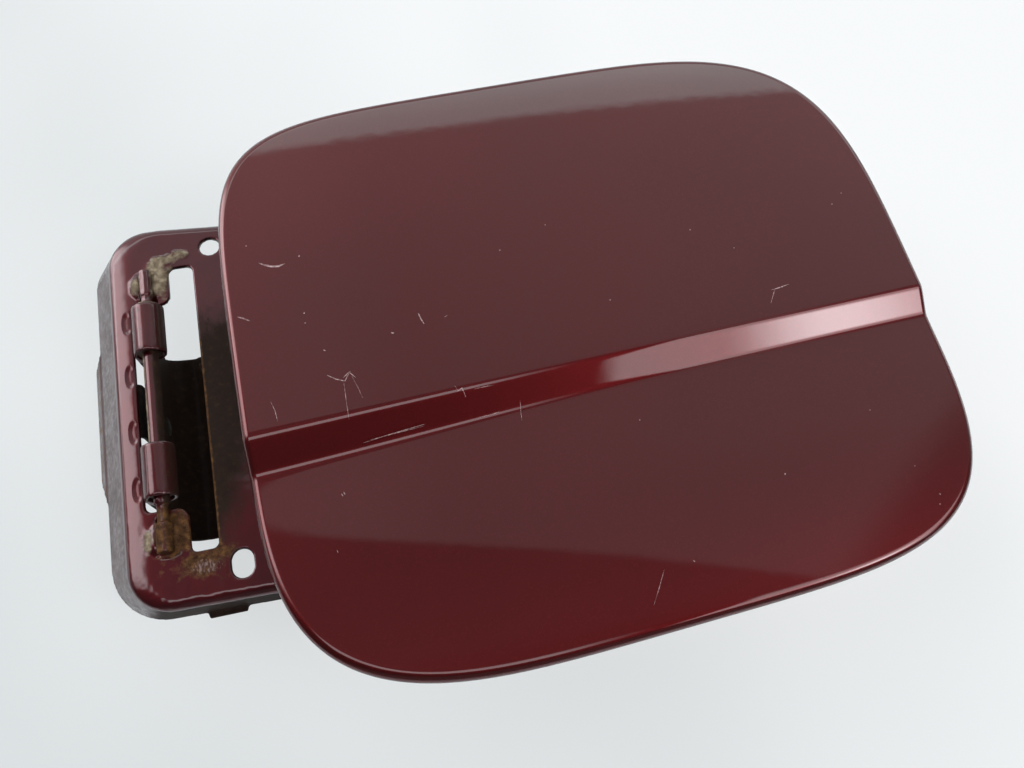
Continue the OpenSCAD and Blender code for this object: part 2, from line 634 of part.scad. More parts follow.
// Plate inside the lid that spreads the pull of the striker's rivets
module striker_backing_plate() {
    margin = 3;
    color(steel) difference() {
        translate([striker_x - foot_len, striker_y - striker_w / 2 - margin, inner_z + inner_sheet])
            cube([foot_len - margin, striker_w + 2 * margin, backing_t]);
        for (off = [outer_rivet_off, inner_rivet_off]) translate([striker_x - off, striker_y, inner_z])
            cylinder(d = rivet_d + 2 * fit_gap, h = backing_t + 2 * over);
    }
}
module striker_rivet(off) {
    head_h = 1.2;
    grip = striker_t + inner_sheet + backing_t;
    color(steel) translate([striker_x - off, striker_y, inner_z - striker_t]) {
        cylinder(d = rivet_d, h = grip);
        translate([0, 0, -head_h]) cylinder(d = 2 * rivet_d, h = head_h);
        translate([0, 0, grip]) cylinder(d = 1.7 * rivet_d, h = head_h);
    }
}
module outer_striker_rivet() { striker_rivet(outer_rivet_off); }
module inner_striker_rivet() { striker_rivet(inner_rivet_off); }

// Rubber buffers pushed into the inner panel; they cushion the closing lid
module buffer(y) {
    stem_r = buffer_stem_d / 2;
    head_r = 6.2;
    nose_r = 5;
    edge = 0.8;
    lip = 1;
    barb = 2;
    color(rubber) translate([buffer_x, y, inner_z]) rotate_extrude() polygon([
        [0, -buffer_h], [nose_r - edge, -buffer_h],
        [nose_r, edge - buffer_h], [head_r, -1.5 * edge], [head_r, 0], [stem_r, 0], [stem_r, inner_sheet],
        [stem_r + lip, inner_sheet], [stem_r - 0.6 * lip, inner_sheet + barb], [0, inner_sheet + barb]]);
}
module upper_buffer() { buffer(lid_cy + buffer_dy / 2); }
module lower_buffer() { buffer(lid_cy - buffer_dy / 2); }

hinge_base();
hinge_pin();
lid_outer_panel();
lid_inner_panel();
hinge_arm();
upper_bush();
lower_bush();
pop_up_spring();
upper_spring_rivet();
lower_spring_rivet();
striker();
striker_backing_plate();
outer_striker_rivet();
inner_striker_rivet();
upper_buffer();
lower_buffer();
hinge_top_mastic_pad();
hinge_bottom_mastic_pad();
latch_top_mastic_pad();
latch_bottom_mastic_pad();
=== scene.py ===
"""Dresses the car fuel door: painted lid, hinge base, pin, gooseneck arm, small parts and a plain stage."""
import math

import bmesh
import bpy
from bpy.props import FloatProperty, FloatVectorProperty, PointerProperty
from mathutils import Matrix, Vector, noise


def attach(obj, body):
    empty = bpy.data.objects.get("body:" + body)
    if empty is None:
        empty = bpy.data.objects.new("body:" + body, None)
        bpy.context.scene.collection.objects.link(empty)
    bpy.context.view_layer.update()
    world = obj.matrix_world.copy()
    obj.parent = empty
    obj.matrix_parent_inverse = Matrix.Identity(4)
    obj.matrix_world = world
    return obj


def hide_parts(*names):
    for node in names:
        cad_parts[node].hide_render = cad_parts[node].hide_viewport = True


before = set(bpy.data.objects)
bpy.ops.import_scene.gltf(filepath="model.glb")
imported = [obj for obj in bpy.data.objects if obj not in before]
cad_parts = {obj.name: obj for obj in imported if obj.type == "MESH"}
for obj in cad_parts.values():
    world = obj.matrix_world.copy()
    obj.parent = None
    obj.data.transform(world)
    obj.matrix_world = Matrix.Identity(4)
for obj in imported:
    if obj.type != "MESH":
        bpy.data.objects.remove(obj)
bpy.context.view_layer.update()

bl_info = {
    "name": "Car Fuel Door Builder",
    "version": (1, 0, 0),
    "blender": (4, 5, 0),
    "location": "3D View > Sidebar > Fuel Door",
    "description": "Builds the painted lid, the hinge and the latch parts of a car fuel door",
    "category": "Object",
}

MM = 0.001


def linear(code):
    """Turn an sRGB hex colour into linear red, green and blue."""
    parts = [int(code[k:k + 2], 16) / 255 for k in (1, 3, 5)]
    return tuple(c / 12.92 if c <= 0.04045 else ((c + 0.055) / 1.055) ** 2.4 for c in parts)


def rgba(code):
    return (*linear(code), 1.0)


def mix(a, b, s):
    return a + (b - a) * s


def smooth(low, high, value):
    """0 below low, 1 above high, eased between; low may be the larger one."""
    s = min(max((value - low) / (high - low), 0.0), 1.0)
    return s * s * (3 - 2 * s)


# ---------------------------------------------------------------- settings

def length_setting(name, description, default):
    """A length in metres that the panel shows."""
    return FloatProperty(name=name, description=description, default=default, unit="LENGTH")


def colour_setting(name, description, code):
    """A colour that the panel shows, given as sRGB hex."""
    return FloatVectorProperty(name=name, description=description, default=linear(code), subtype="COLOR",
                               size=3, min=0, max=1)


class FuelDoorSizes(bpy.types.PropertyGroup):
    """Sizes of the visible pieces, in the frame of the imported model"""
    lid_x: length_setting("Lid Centre X", "Lid centre, from the fixing holes towards the latch", 0.0942)
    lid_y: length_setting("Lid Centre Y", "Lid centre along the hinge pin", -0.0078)
    lid_right: length_setting("Latch Reach", "Reach of the lid from its centre towards the latch", 0.0903)
    lid_left: length_setting("Hinge Reach", "Reach of the lid from its centre towards the hinge", 0.0884)
    lid_top: length_setting("Top Reach", "Reach of the lid from its centre to the top edge", 0.0814)
    lid_bottom: length_setting("Bottom Reach", "Reach of the lid from its centre to the bottom edge", 0.0738)
    rim_z: length_setting("Rim Height", "Height of the lid's rim above the base plate", 0.0176)
    crease_step: length_setting("Crease Step", "Step down across the crease", 0.003)
    base_sheet: length_setting("Base Sheet", "Thickness of the hinge base's sheet", 0.0016)
    pin_x: length_setting("Pin X", "Pin axis, from the fixing holes", -0.017)
    pin_z: length_setting("Pin Z", "Pin axis above the inboard face of the base plate", 0.0028)
    pin_d: length_setting("Pin Diameter", "Diameter of the hinge pin", 0.0039)


class FuelDoorColours(bpy.types.PropertyGroup):
    """Colours of the finishes"""
    paint: colour_setting("Body Paint", "Metallic burgundy base coat", "#521012")
    shade: colour_setting("Shaded Paint", "Darker, more purple paint in patches on the hinge", "#3c0f17")
    flake: colour_setting("Flake", "Lit flakes in the base coat", "#691b1d")
    floor: colour_setting("Floor", "Pale floor", "#dbdfe0")


def sizes():
    return bpy.context.scene.fuel_door_sizes


def colours():
    return bpy.context.scene.fuel_door_colours


# ---------------------------------------------------------------- lid form, in millimetres

# How square each corner is, by its side (latch 1, hinge -1) and end (top 1, bottom -1)
CORNER = {(1, 1): 3.8, (-1, 1): 6.0, (-1, -1): 3.9, (1, -1): 4.6}
# The top and bottom edges climb towards the latch, and the side edges lean
EDGE_SLOPE = 0.0475
EDGE_LEAN = -0.018
CROWN_X = 0.8
CROWN_Y = 2.0
CREASE_LINE = -6.2
CREASE_LOW = -15.2
# The crease grows this much wider and deeper towards the hinge, from this far out
CREASE_SPREAD = 2.0
CREASE_DEEPEN = 0.6
CREASE_START = 110
CREASE_MARGIN = 0.6
# Below the crease the skin comes back up by this much, over this length
CREASE_RECOVER = 1.5
CREASE_FADE = 25.0
CREASE_ROUND = 0.22
CORNER_SHARE = 0.86
LID_SHEET = 0.8
RIM_R = 2.0
HEM_W = 7.0
HEM_T = 2.6
HEM_GAP = 0.15
INNER_SHEET = 0.7
INNER_Z = 11.0
FLANGE_W = 9.0
FLAT_INSET = 16.5
# Round-ended slots in the inner panel, and its holes for buffer stems and striker rivets
LIGHTENING_Y = 44
LIGHTENING_HALF = 42
LIGHTENING_R = 8.5
STEM_X = 152
STEM_Y = 39
STEM_R = 3.02
RIVET_X = (150, 139)
RIVET_Y = -5
RIVET_R = 2.02


class LidForm:
    """The lid's surface: outline, crown and crease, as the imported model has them."""

    def __init__(self, rows_low, rows_crease, rows_up, cols):
        s = sizes()
        self.cx, self.cy = s.lid_x / MM, s.lid_y / MM
        self.reach = {("u", 1): s.lid_right / MM, ("u", -1): s.lid_left / MM,
                      ("v", 1): s.lid_top / MM, ("v", -1): s.lid_bottom / MM}
        self.rim_z = s.rim_z / MM
        self.step = s.crease_step / MM
        self.rows_low, self.rows_crease, self.rows_up, self.cols = rows_low, rows_crease, rows_up, cols
        self.rows = rows_low + rows_crease + rows_up

    @staticmethod
    def ramp(s):
        if s <= 0:
            return 0.0
        if s >= 1:
            return 1.0
        if s < CREASE_ROUND:
            return s * s / (2 * CREASE_ROUND * (1 - CREASE_ROUND))
        if s < 1 - CREASE_ROUND:
            return (s - CREASE_ROUND / 2) / (1 - CREASE_ROUND)
        return 1 - (1 - s) ** 2 / (2 * CREASE_ROUND * (1 - CREASE_ROUND))

    def skin_z(self, x, y):
        across = y - self.cy - EDGE_SLOPE * (x - self.cx)
        hinge_side = smooth(CREASE_START, 0, x)
        low = CREASE_LOW - CREASE_SPREAD * hinge_side
        below = max(0.0, low - across)
        deeper = CREASE_DEEPEN * hinge_side
        drop = (self.step + deeper) * self.ramp((CREASE_LINE - across) / (CREASE_LINE - low)) \
            - (CREASE_RECOVER + deeper) * (1 - math.exp(-(below / CREASE_FADE) ** 1.5))
        half_x = 0.5 * (self.reach["u", 1] + self.reach["u", -1])
        half_y = 0.5 * (self.reach["v", 1] + self.reach["v", -1])
        return self.rim_z - drop + CROWN_X * (1 - ((x - self.cx) / half_x) ** 2) \
            + CROWN_Y * (1 - ((y - self.cy) / half_y) ** 2)

    def half_u(self, v, side, inset):
        up = 1 if v > 0 else -1
        n = CORNER[side, up]
        share = min(abs(v) / (self.reach["v", up] - inset), 1.0)
        return (self.reach["u", side] - inset) * (1 - share ** n) ** (1 / n)

    def half_v(self, u, up, inset):
        side = 1 if u > 0 else -1
        n = CORNER[side, up]
        share = min(abs(u) / (self.reach["u", side] - inset), 1.0)
        return (self.reach["v", up] - inset) * (1 - share ** n) ** (1 / n)

    def row(self, j, inset):
        """Height of row j and how far it bows out to the top or bottom edge."""
        low, crease = self.rows_low, self.rows_low + self.rows_crease
        foot = CREASE_LOW - CREASE_SPREAD - CREASE_MARGIN
        if j <= low:
            edge = -CORNER_SHARE * (self.reach["v", -1] - inset)
            return mix(edge, foot, 1 - math.cos(math.pi / 2 * j / low)), -(1 - j / low) ** 2
        if j <= crease:
            return mix(foot, CREASE_LINE, (j - low) / self.rows_crease), 0.0
        s = (j - crease) / self.rows_up
        return mix(CREASE_LINE, CORNER_SHARE * (self.reach["v", 1] - inset), math.sin(math.pi / 2 * s)), s * s

    def xy(self, i, j, inset):
        v, bow = self.row(j, inset)
        share = (1 - math.cos(math.pi * i / self.cols)) / 2
        u = mix(-self.half_u(v, -1, inset), self.half_u(v, 1, inset), share)
        if bow:
            v += bow * (self.half_v(u, 1 if bow > 0 else -1, inset) - abs(v))
        x = (u + EDGE_LEAN * v) / (1 - EDGE_LEAN * EDGE_SLOPE)
        return self.cx + x, self.cy + v + EDGE_SLOPE * x

    def point(self, i, j, inset, drop):
        x, y = self.xy(i, j, inset)
        return x, y, self.skin_z(x, y) - drop

    def around(self):
        c, r = self.cols, self.rows
        return [(i, 0) for i in range(c)] + [(c, j) for j in range(r)] \
            + [(c - i, r) for i in range(c)] + [(0, r - j) for j in range(r)]

    def loop(self, inset, drop):
        return [self.point(i, j, inset, drop) for i, j in self.around()]

    def level_loop(self, inset, z):
        return [(*self.xy(i, j, inset), z) for i, j in self.around()]


# ---------------------------------------------------------------- mesh helpers, in millimetres

def mesh_of(name, points, faces):
    """A mesh in metres from points in millimetres."""
    mesh = bpy.data.meshes.new(name)
    mesh.from_pydata([tuple(c * MM for c in p) for p in points], [], faces)
    return mesh


def placed(name, mesh):
    """A new object in the scene with this mesh."""
    obj = bpy.data.objects.new(name, mesh)
    bpy.context.scene.collection.objects.link(obj)
    return obj


def piece_from(name, points, faces, material, body, nodes=()):
    """Make one piece from points in millimetres, and tie it to the model."""
    mesh = mesh_of(name, points, faces)
    mesh.validate()
    obj = placed(name, mesh)
    tie(obj, material, body, nodes)
    return obj


def tie(obj, material, body, nodes=()):
    obj.data.materials.clear()
    obj.data.materials.append(material)
    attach(obj, body)
    if nodes:
        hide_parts(*nodes)


def shade(obj, angle=None):
    """Smooth shading, with edges sharper than the angle in degrees kept crisp."""
    obj.data.shade_smooth()
    if angle:
        obj.data.set_sharp_from_angle(angle=math.radians(angle))


def outward(mesh):
    """Turn all faces outward."""
    work = bmesh.new()
    work.from_mesh(mesh)
    bmesh.ops.recalc_face_normals(work, faces=work.faces[:])
    work.to_mesh(mesh)
    work.free()


def arc(cx, cy, r, start, end, steps):
    return [(cx + r * math.cos(math.radians(mix(start, end, k / steps))),
             cy + r * math.sin(math.radians(mix(start, end, k / steps)))) for k in range(steps + 1)]


def round_outline(cx, cy, r):
    """A round outline of 48 points."""
    return arc(cx, cy, r, 0, 352.5, 47)


def filleted(corners, steps=8):
    """A closed outline from corners (x, y, radius) with each corner rounded."""
    out = []
    count = len(corners)
    for k in range(count):
        x, y, r = corners[k]
        before = Vector(corners[k - 1][:2]) - Vector((x, y))
        after = Vector(corners[(k + 1) % count][:2]) - Vector((x, y))
        a, b = before.normalized(), after.normalized()
        half = a.angle(b) / 2
        reach = r / math.tan(half)
        middle = Vector((x, y)) + (a + b).normalized() * (r / math.sin(half))
        start, end = Vector((x, y)) + a * reach - middle, Vector((x, y)) + b * reach - middle
        turn = start.angle_signed(end)
        for n in range(steps + 1):
            angle = -turn * n / steps
            c, s = math.cos(angle), math.sin(angle)
            out.append((middle.x + start.x * c - start.y * s, middle.y + start.x * s + start.y * c))
    return out


def prism(outline, z0, z1):
    """Points and faces of an outline pulled up from z0 to z1."""
    n = len(outline)
    points = [(x, y, z0) for x, y in outline] + [(x, y, z1) for x, y in outline]
    faces = [tuple(range(n)), tuple(range(2 * n - 1, n - 1, -1))]
    faces += [(k, n + k, n + (k + 1) % n, (k + 1) % n) for k in range(n)]
    return points, faces


def lathe(profile, steps, x, z):
    """Points and faces of a closed body turned about a line along Y, from (radius, place) pairs."""
    points, faces = [], []
    for r, y in profile:
        for k in range(steps):
            a = 2 * math.pi * k / steps
            points.append((x + r * math.cos(a), y, z + r * math.sin(a)))
    for low in range(0, (len(profile) - 1) * steps, steps):
        high = low + steps
        faces += [(low + k, low + (k + 1) % steps, high + (k + 1) % steps, high + k) for k in range(steps)]
    last = (len(profile) - 1) * steps
    faces += [tuple(range(steps)), tuple(last + k for k in reversed(range(steps)))]
    return points, faces


def loose(name, points, faces):
    """A working object that is used up by the pieces."""
    mesh = mesh_of(name, points, faces)
    outward(mesh)
    return placed(name, mesh)


def drop_object(obj):
    mesh = obj.data
    bpy.data.objects.remove(obj)
    bpy.data.meshes.remove(mesh)


def applied(obj):
    """The object's mesh with its modifiers worked in."""
    graph = bpy.context.evaluated_depsgraph_get()
    graph.update()
    mesh = bpy.data.meshes.new_from_object(obj.evaluated_get(graph))
    old = obj.data
    obj.modifiers.clear()
    obj.data = mesh
    bpy.data.meshes.remove(old)
    return mesh


def cut(obj, cutters):
    """Cut working objects out of a piece, and remove them."""
    for tool in cutters:
        change = obj.modifiers.new("cut", "BOOLEAN")
        change.operation = "DIFFERENCE"
        change.solver = "EXACT"
        change.object = tool
    applied(obj)
    for tool in cutters:
        drop_object(tool)


def join_all(target, others):
    """Put the faces of working objects into one mesh."""
    work = bmesh.new()
    work.from_mesh(target.data)
    for other in others:
        work.from_mesh(other.data)
        drop_object(other)
    work.to_mesh(target.data)
    work.free()


def reskin(obj, voxel, rounds):
    """Rebuild a closed piece as an even skin that rounds its edges a little, as paint does."""
    change = obj.modifiers.new("skin", "REMESH")
    change.mode = "VOXEL"
    change.voxel_size = voxel * MM
    mesh = applied(obj)
    work = bmesh.new()
    work.from_mesh(mesh)
    for _ in range(rounds):
        bmesh.ops.smooth_vert(work, verts=work.verts[:], factor=0.5, use_axis_x=True, use_axis_y=True,
                              use_axis_z=True)
    work.to_mesh(mesh)
    work.free()
    return mesh


def copied(node, name):
    """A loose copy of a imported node's mesh."""
    return placed(name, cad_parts[node].data.copy())


def relief(mesh, depth):
    """Move each point along its normal by depth(x, y, z, normal) in millimetres."""
    normals = [v.normal.copy() for v in mesh.vertices]
    for v, n in zip(mesh.vertices, normals):
        v.co += n * (depth(v.co.x / MM, v.co.y / MM, v.co.z / MM, n) * MM)
    mesh.update()


def paint_masks(mesh, film_and_shade, rust, grease_and_highlight, scuff):
    """Store on the points the share of each layer of dirt, wear and painted light and shade, from functions
    of place and normal.
    """
    for name, share in (("film_and_shade", film_and_shade), ("rust", rust), ("grease_and_highlight", grease_and_highlight), ("scuff", scuff)):
        layer = mesh.attributes.new(name, "FLOAT_COLOR", "POINT")
        values = []
        for v in mesh.vertices:
            s = min(max(share(v.co.x / MM, v.co.y / MM, v.co.z / MM, v.normal), 0.0), 1.0)
            values += [s, s, s, 1.0]
        layer.data.foreach_set("color", values)


def rough(x, y, z, size, octaves=3):
    """Layered noise, about -1 to 1, with lumps of the given size in millimetres."""
    return noise.fractal(Vector((x / size, y / size, z / size)), 0.8, 2.0, octaves)


# ---------------------------------------------------------------- material helpers

def add(tree, kind, values=None, **settings):
    """Add a node, set its settings, and set or link its inputs."""
    node = tree.nodes.new("ShaderNode" + kind)
    for key, value in settings.items():
        setattr(node, key, value)
    for key, value in (values or {}).items():
        if isinstance(value, bpy.types.NodeSocket):
            tree.links.new(value, node.inputs[key])
        else:
            node.inputs[key].default_value = value
    return node


def start(name):
    material = bpy.data.materials.new(name)
    material.use_nodes = True
    tree = material.node_tree
    tree.nodes.clear()
    place = add(tree, "TexCoord").outputs["Object"]
    return material, tree, place


def close(tree, shader):
    add(tree, "OutputMaterial", {"Surface": shader.outputs[0]})


def grit(tree, place, size, detail, strength, depth):
    """Normals of a slightly uneven surface; grain size and depth are in millimetres."""
    grain = add(tree, "TexNoise", {"Vector": place, "Scale": 1 / (size * MM), "Detail": detail})
    bump = add(tree, "Bump", {"Height": grain.outputs[0], "Strength": strength, "Distance": depth * MM})
    return bump.outputs[0]


def blotches(tree, place, size, detail, breakup, low, high, light, dark):
    """Two colours in blotches of a size in millimetres: the dark one's share, and the colour."""
    spots = add(tree, "TexNoise", {"Vector": place, "Scale": 1 / (size * MM), "Detail": detail,
                                   "Roughness": breakup})
    share = add(tree, "MapRange", {"Value": spots.outputs[0], "From Min": low, "From Max": high})
    tone = add(tree, "Mix", {0: share.outputs[0], 6: rgba(light), 7: rgba(dark)}, data_type="RGBA")
    return share.outputs[0], tone.outputs[2]


def span(tree, value, low, high):
    """A value from 0 to 1 spread between two others."""
    return add(tree, "MapRange", {"Value": value, "To Min": low, "To Max": high}).outputs[0]


def car_paint_lid():
    """Baked two-coat car paint: burgundy base coat with fine aluminium flake under a clear coat."""
    # The clear coat mirrors its surroundings sharply; the flake below gives a soft glow round highlights
    material, tree, place = start("burgundy_two_coat_paint")
    c = colours()
    # Real flake is 0.02 to 0.05 mm; it is drawn at 0.25 mm, the smallest that shows
    flake = add(tree, "TexVoronoi", {"Vector": place, "Scale": 1 / (0.25 * MM)})
    split = add(tree, "SeparateColor", {"Color": flake.outputs["Color"]})
    lit = add(tree, "MapRange", {"Value": split.outputs[0], "From Min": 0.75, "To Max": 0.3})
    cloud = add(tree, "TexNoise", {"Vector": place, "Scale": 1 / (60 * MM), "Detail": 3.0})
    shift = add(tree, "MapRange", {"Value": cloud.outputs[0], "From Min": 0.3, "From Max": 0.7,
                                   "To Min": 0.92, "To Max": 1.08})
    coat = add(tree, "Mix", {0: lit.outputs[0], 6: (*c.paint, 1), 7: (*c.flake, 1)}, data_type="RGBA")
    tone = add(tree, "VectorMath", {0: coat.outputs[2], "Scale": shift.outputs[0]}, operation="SCALE")
    # Wash marks: hair-fine lines a few centimetres long, drawn 0.2 mm wide
    turned = add(tree, "Mapping", {"Vector": place, "Rotation": (0, 0, 1.9), "Scale": (4, 0.12, 1)})
    hair = add(tree, "TexNoise", {"Vector": turned.outputs[0], "Scale": 1 / (1.6 * MM),
                                  "Detail": 4.0, "Roughness": 0.7})
    worn = add(tree, "MapRange", {"Value": hair.outputs[0], "From Min": 0.35, "From Max": 0.75,
                                  "To Min": 0.35, "To Max": 0.42})
    # Orange peel of sprayed clear coat, waves 4 mm long
    peel = grit(tree, place, 4, 1.0, 0.02, 0.3)
    shader = add(tree, "BsdfPrincipled", {
        "Base Color": tone.outputs[0], "Metallic": 0.85, "Roughness": worn.outputs[0], "IOR": 1.5,
        "Specular IOR Level": 0.0, "Coat Weight": 1.0, "Coat Roughness": 0.03, "Coat IOR": 1.5,
        "Coat Normal": peel})
    close(tree, shader)
    return material


def worn_paint(name):
    """The same paint on the pressed hinge steel, with dark film and painted shade, rust, dried grease and
    painted highlights, and scuffs.
    """
    # Clean paint is glossy; film is dark and satin, also used as painted shade; rust brown and matt; grease a
    # pale sandy crust, also used as painted highlight
    material, tree, place = start(name)
    c = colours()
    # Grain size in millimetres, detail and breakup of each layer's edge; cloud tones the clean paint
    noises = {}
    for key, size, detail, breakup in (("grain", 1.6, 6.0, 0.65), ("clot", 1.8, 3.0, 0.5),
                                       ("cloud", 9, 3.0, 0.5)):
        noises[key] = add(tree, "TexNoise", {
            "Vector": place, "Scale": 1 / (size * MM), "Detail": detail, "Roughness": breakup}).outputs[0]
    # Scuffs are hair lines 0.15 mm wide, drawn 0.3 mm
    slanted = add(tree, "Mapping", {"Vector": place, "Rotation": (0, 0, 0.9), "Scale": (1, 0.45, 1)})
    noises["hair"] = add(tree, "TexNoise", {
        "Vector": slanted.outputs[0], "Scale": 1 / (0.5 * MM), "Detail": 3.0}).outputs[0]
    tone = add(tree, "Mix", {0: noises["cloud"], 6: (*c.shade, 1), 7: (*c.paint, 1)},
               data_type="RGBA").outputs[2]
    dull = None
    # Layer, its noise, the sums of mask and noise at which it starts and is full, its dullness, its colours
    layers = (
        ("film_and_shade", "grain", 0.6, 1.3, 0.95, ((0.3, "#241a15"), (0.55, "#2c1e17"), (0.75, "#3d2a1e"))),
        ("rust", "grain", 0.75, 1.2, 1.0, ((0.3, "#2b190e"), (0.5, "#4c321e"), (0.75, "#77532f"))),
        ("grease_and_highlight", "clot", 0.8, 1.25, 1.0, ((0.3, "#544539"), (0.5, "#786957"), (0.7, "#a09079"))),
        ("scuff", "hair", 1.22, 1.42, 1.0, ((0.45, "#4e3531"), (0.65, "#7d6661"))),
    )
    for key, noise_name, low, high, dullness, stops in layers:
        breaker = noises[noise_name]
        mask = add(tree, "Attribute", attribute_name=key).outputs["Fac"]
        edge = add(tree, "Math", {0: mask, 1: breaker}, operation="ADD")
        part = add(tree, "MapRange", {"Value": edge.outputs[0], "From Min": low, "From Max": high})
        colour = add(tree, "ValToRGB", {"Fac": breaker})
        ramp = colour.color_ramp
        for stop, (position, code) in enumerate(stops):
            element = ramp.elements[stop] if stop < 2 else ramp.elements.new(position)
            element.position, element.color = position, rgba(code)
        tone = add(tree, "Mix", {0: part.outputs[0], 6: tone, 7: colour.outputs[0]},
                   data_type="RGBA").outputs[2]
        share = add(tree, "Math", {0: part.outputs[0], 1: dullness}, operation="MULTIPLY").outputs[0]
        dull = share if dull is None else add(
            tree, "Math", {0: dull, 1: share}, operation="MAXIMUM").outputs[0]
    shader = add(tree, "BsdfPrincipled", {
        "Base Color": tone, "Metallic": span(tree, dull, 0.8, 0.0), "Roughness": span(tree, dull, 0.4, 0.8),
        "IOR": 1.5, "Specular IOR Level": 0.1, "Coat Weight": span(tree, dull, 1.0, 0.0),
        "Coat Roughness": 0.06, "Coat IOR": 1.5, "Normal": grit(tree, place, 0.6, 4.0, 0.2, 0.1)})
    close(tree, shader)
    return material


def thin_paint(name, clean, dirt, size, roughness, coat):
    """Thin overspray without much clear coat, with road film settled in blotches."""
    # Duller and browner than the outer paint, darker where the film is thick
    material, tree, place = start(name)
    share, tone = blotches(tree, place, size, 6.0, 0.6, 0.4, 0.65, clean, dirt)
    shader = add(tree, "BsdfPrincipled", {
        "Base Color": tone, "Metallic": 0.15, "Roughness": span(tree, share, roughness, roughness + 0.25),
        "IOR": 1.5, "Coat Weight": coat, "Coat Roughness": 0.2,
        "Normal": grit(tree, place, 0.7, 3.0, 0.2, 0.1)})
    close(tree, shader)
    return material


def worn_steel(name, bright, brown, roughness, size):
    """Plain or plated steel with a mottled surface, browner where rust has started."""
    # A metal with broken reflections; blotches as large as the given size in millimetres
    material, tree, place = start(name)
    share, tone = blotches(tree, place, size, 5.0, 0.6, 0.48, 0.66, bright, brown)
    shader = add(tree, "BsdfPrincipled", {
        "Base Color": tone, "Metallic": span(tree, share, 1.0, 0.4),
        "Roughness": span(tree, share, roughness, roughness + 0.3),
        "Normal": grit(tree, place, 0.4, 2.0, 0.15, 0.05)})
    close(tree, shader)
    return material


def moulded_rubber():
    """Moulded black rubber."""
    # Matt, with a faint grey bloom and a fine grain from the mould
    material, tree, place = start("moulded_black_rubber")
    tone = blotches(tree, place, 3, 4.0, 0.5, 0.0, 1.0, "#1b1b1c", "#2e2d2c")[1]
    shader = add(tree, "BsdfPrincipled", {
        "Base Color": tone, "Roughness": 0.75, "IOR": 1.5, "Normal": grit(tree, place, 0.3, 2.0, 0.2, 0.05)})
    close(tree, shader)
    return material


def cured_mastic():
    """Cured off-white mastic, laid by hand."""
    # Matt and slightly uneven, darker in its hollows
    material, tree, place = start("cured_mastic")
    tone = blotches(tree, place, 4, 5.0, 0.5, 0.0, 1.0, "#b3ad9b", "#d2cdbd")[1]
    shader = add(tree, "BsdfPrincipled", {
        "Base Color": tone, "Roughness": 0.7, "IOR": 1.5, "Normal": grit(tree, place, 4, 5.0, 0.4, 0.3)})
    close(tree, shader)
    return material


def scratched_lacquer_and_ripple_highlights():
    """Raised edges of scratches and chips in the clear coat, and pale lines painted as highlights of fine
    ripples.
    """
    # Broken lacquer turns whitish and scatters light; the blotches break each line up
    material, tree, place = start("scratched_lacquer_and_ripple_highlights")
    tone = blotches(tree, place, 0.6, 3.0, 0.5, 0.4, 0.6, "#76494c", "#b79a98")[1]
    shader = add(tree, "BsdfPrincipled", {"Base Color": tone, "Roughness": 0.6, "IOR": 1.5})
    close(tree, shader)
    return material


# ---------------------------------------------------------------- pieces

class FUELDOOR_OT_outer_panel(bpy.types.Operator):
    """Build the lid's painted outer skin with its crown, crease, rolled rim and folded hem"""
    bl_idname = "fuel_door.outer_panel"
    bl_label = "Outer Panel"

    def execute(self, context):
        form = LidForm(34, 44, 44, 120)
        rim_steps = 9
        inner_r = RIM_R - LID_SHEET
        section = [(RIM_R * (1 - math.sin(a)), RIM_R * (1 - math.cos(a)))
                   for a in (math.pi / 2 * k / rim_steps for k in range(1, rim_steps + 1))]
        # The hem folds round the inner panel's edge in a small half round
        section += [(0.02, HEM_T - 0.5), (0.12, HEM_T - 0.2), (0.3, HEM_T - 0.04), (0.6, HEM_T),
                    (HEM_W * 0.5, HEM_T), (HEM_W - 0.1, HEM_T), (HEM_W, HEM_T - 0.12),
                    (HEM_W, HEM_T - LID_SHEET + 0.12), (HEM_W - 0.1, HEM_T - LID_SHEET),
                    (LID_SHEET, HEM_T - LID_SHEET)]
        section += [(RIM_R - inner_r * math.cos(a), RIM_R - inner_r * math.sin(a))
                    for a in (math.radians(15), math.radians(45), math.radians(70))]
        grid = [(i, j) for j in range(form.rows + 1) for i in range(form.cols + 1)]
        points = [form.point(i, j, RIM_R, 0) for i, j in grid]
        for inset, drop in section:
            points += form.loop(inset, drop)
        low = len(points)
        points += [form.point(i, j, RIM_R, LID_SHEET) for i, j in grid]
        place = {g: k for k, g in enumerate(grid)}
        edge = [place[g] for g in form.around()]
        count = len(edge)
        rings = [edge] + [[len(grid) + k * count + n for n in range(count)] for k in range(len(section))]
        rings.append([low + e for e in edge])
        faces = []
        for j in range(form.rows):
            for i in range(form.cols):
                a, b, c, d = (place[i, j], place[i + 1, j], place[i + 1, j + 1], place[i, j + 1])
                faces += [(a, b, c, d), (low + d, low + c, low + b, low + a)]
        for a, b in zip(rings, rings[1:]):
            faces += [(a[k], b[k], b[(k + 1) % count], a[(k + 1) % count]) for k in range(count)]
        skin = piece_from("lid_skin", points, faces, car_paint_lid(), "door",
                          ["lid_outer_panel"])
        outward(skin.data)
        shade(skin)
        return {"FINISHED"}
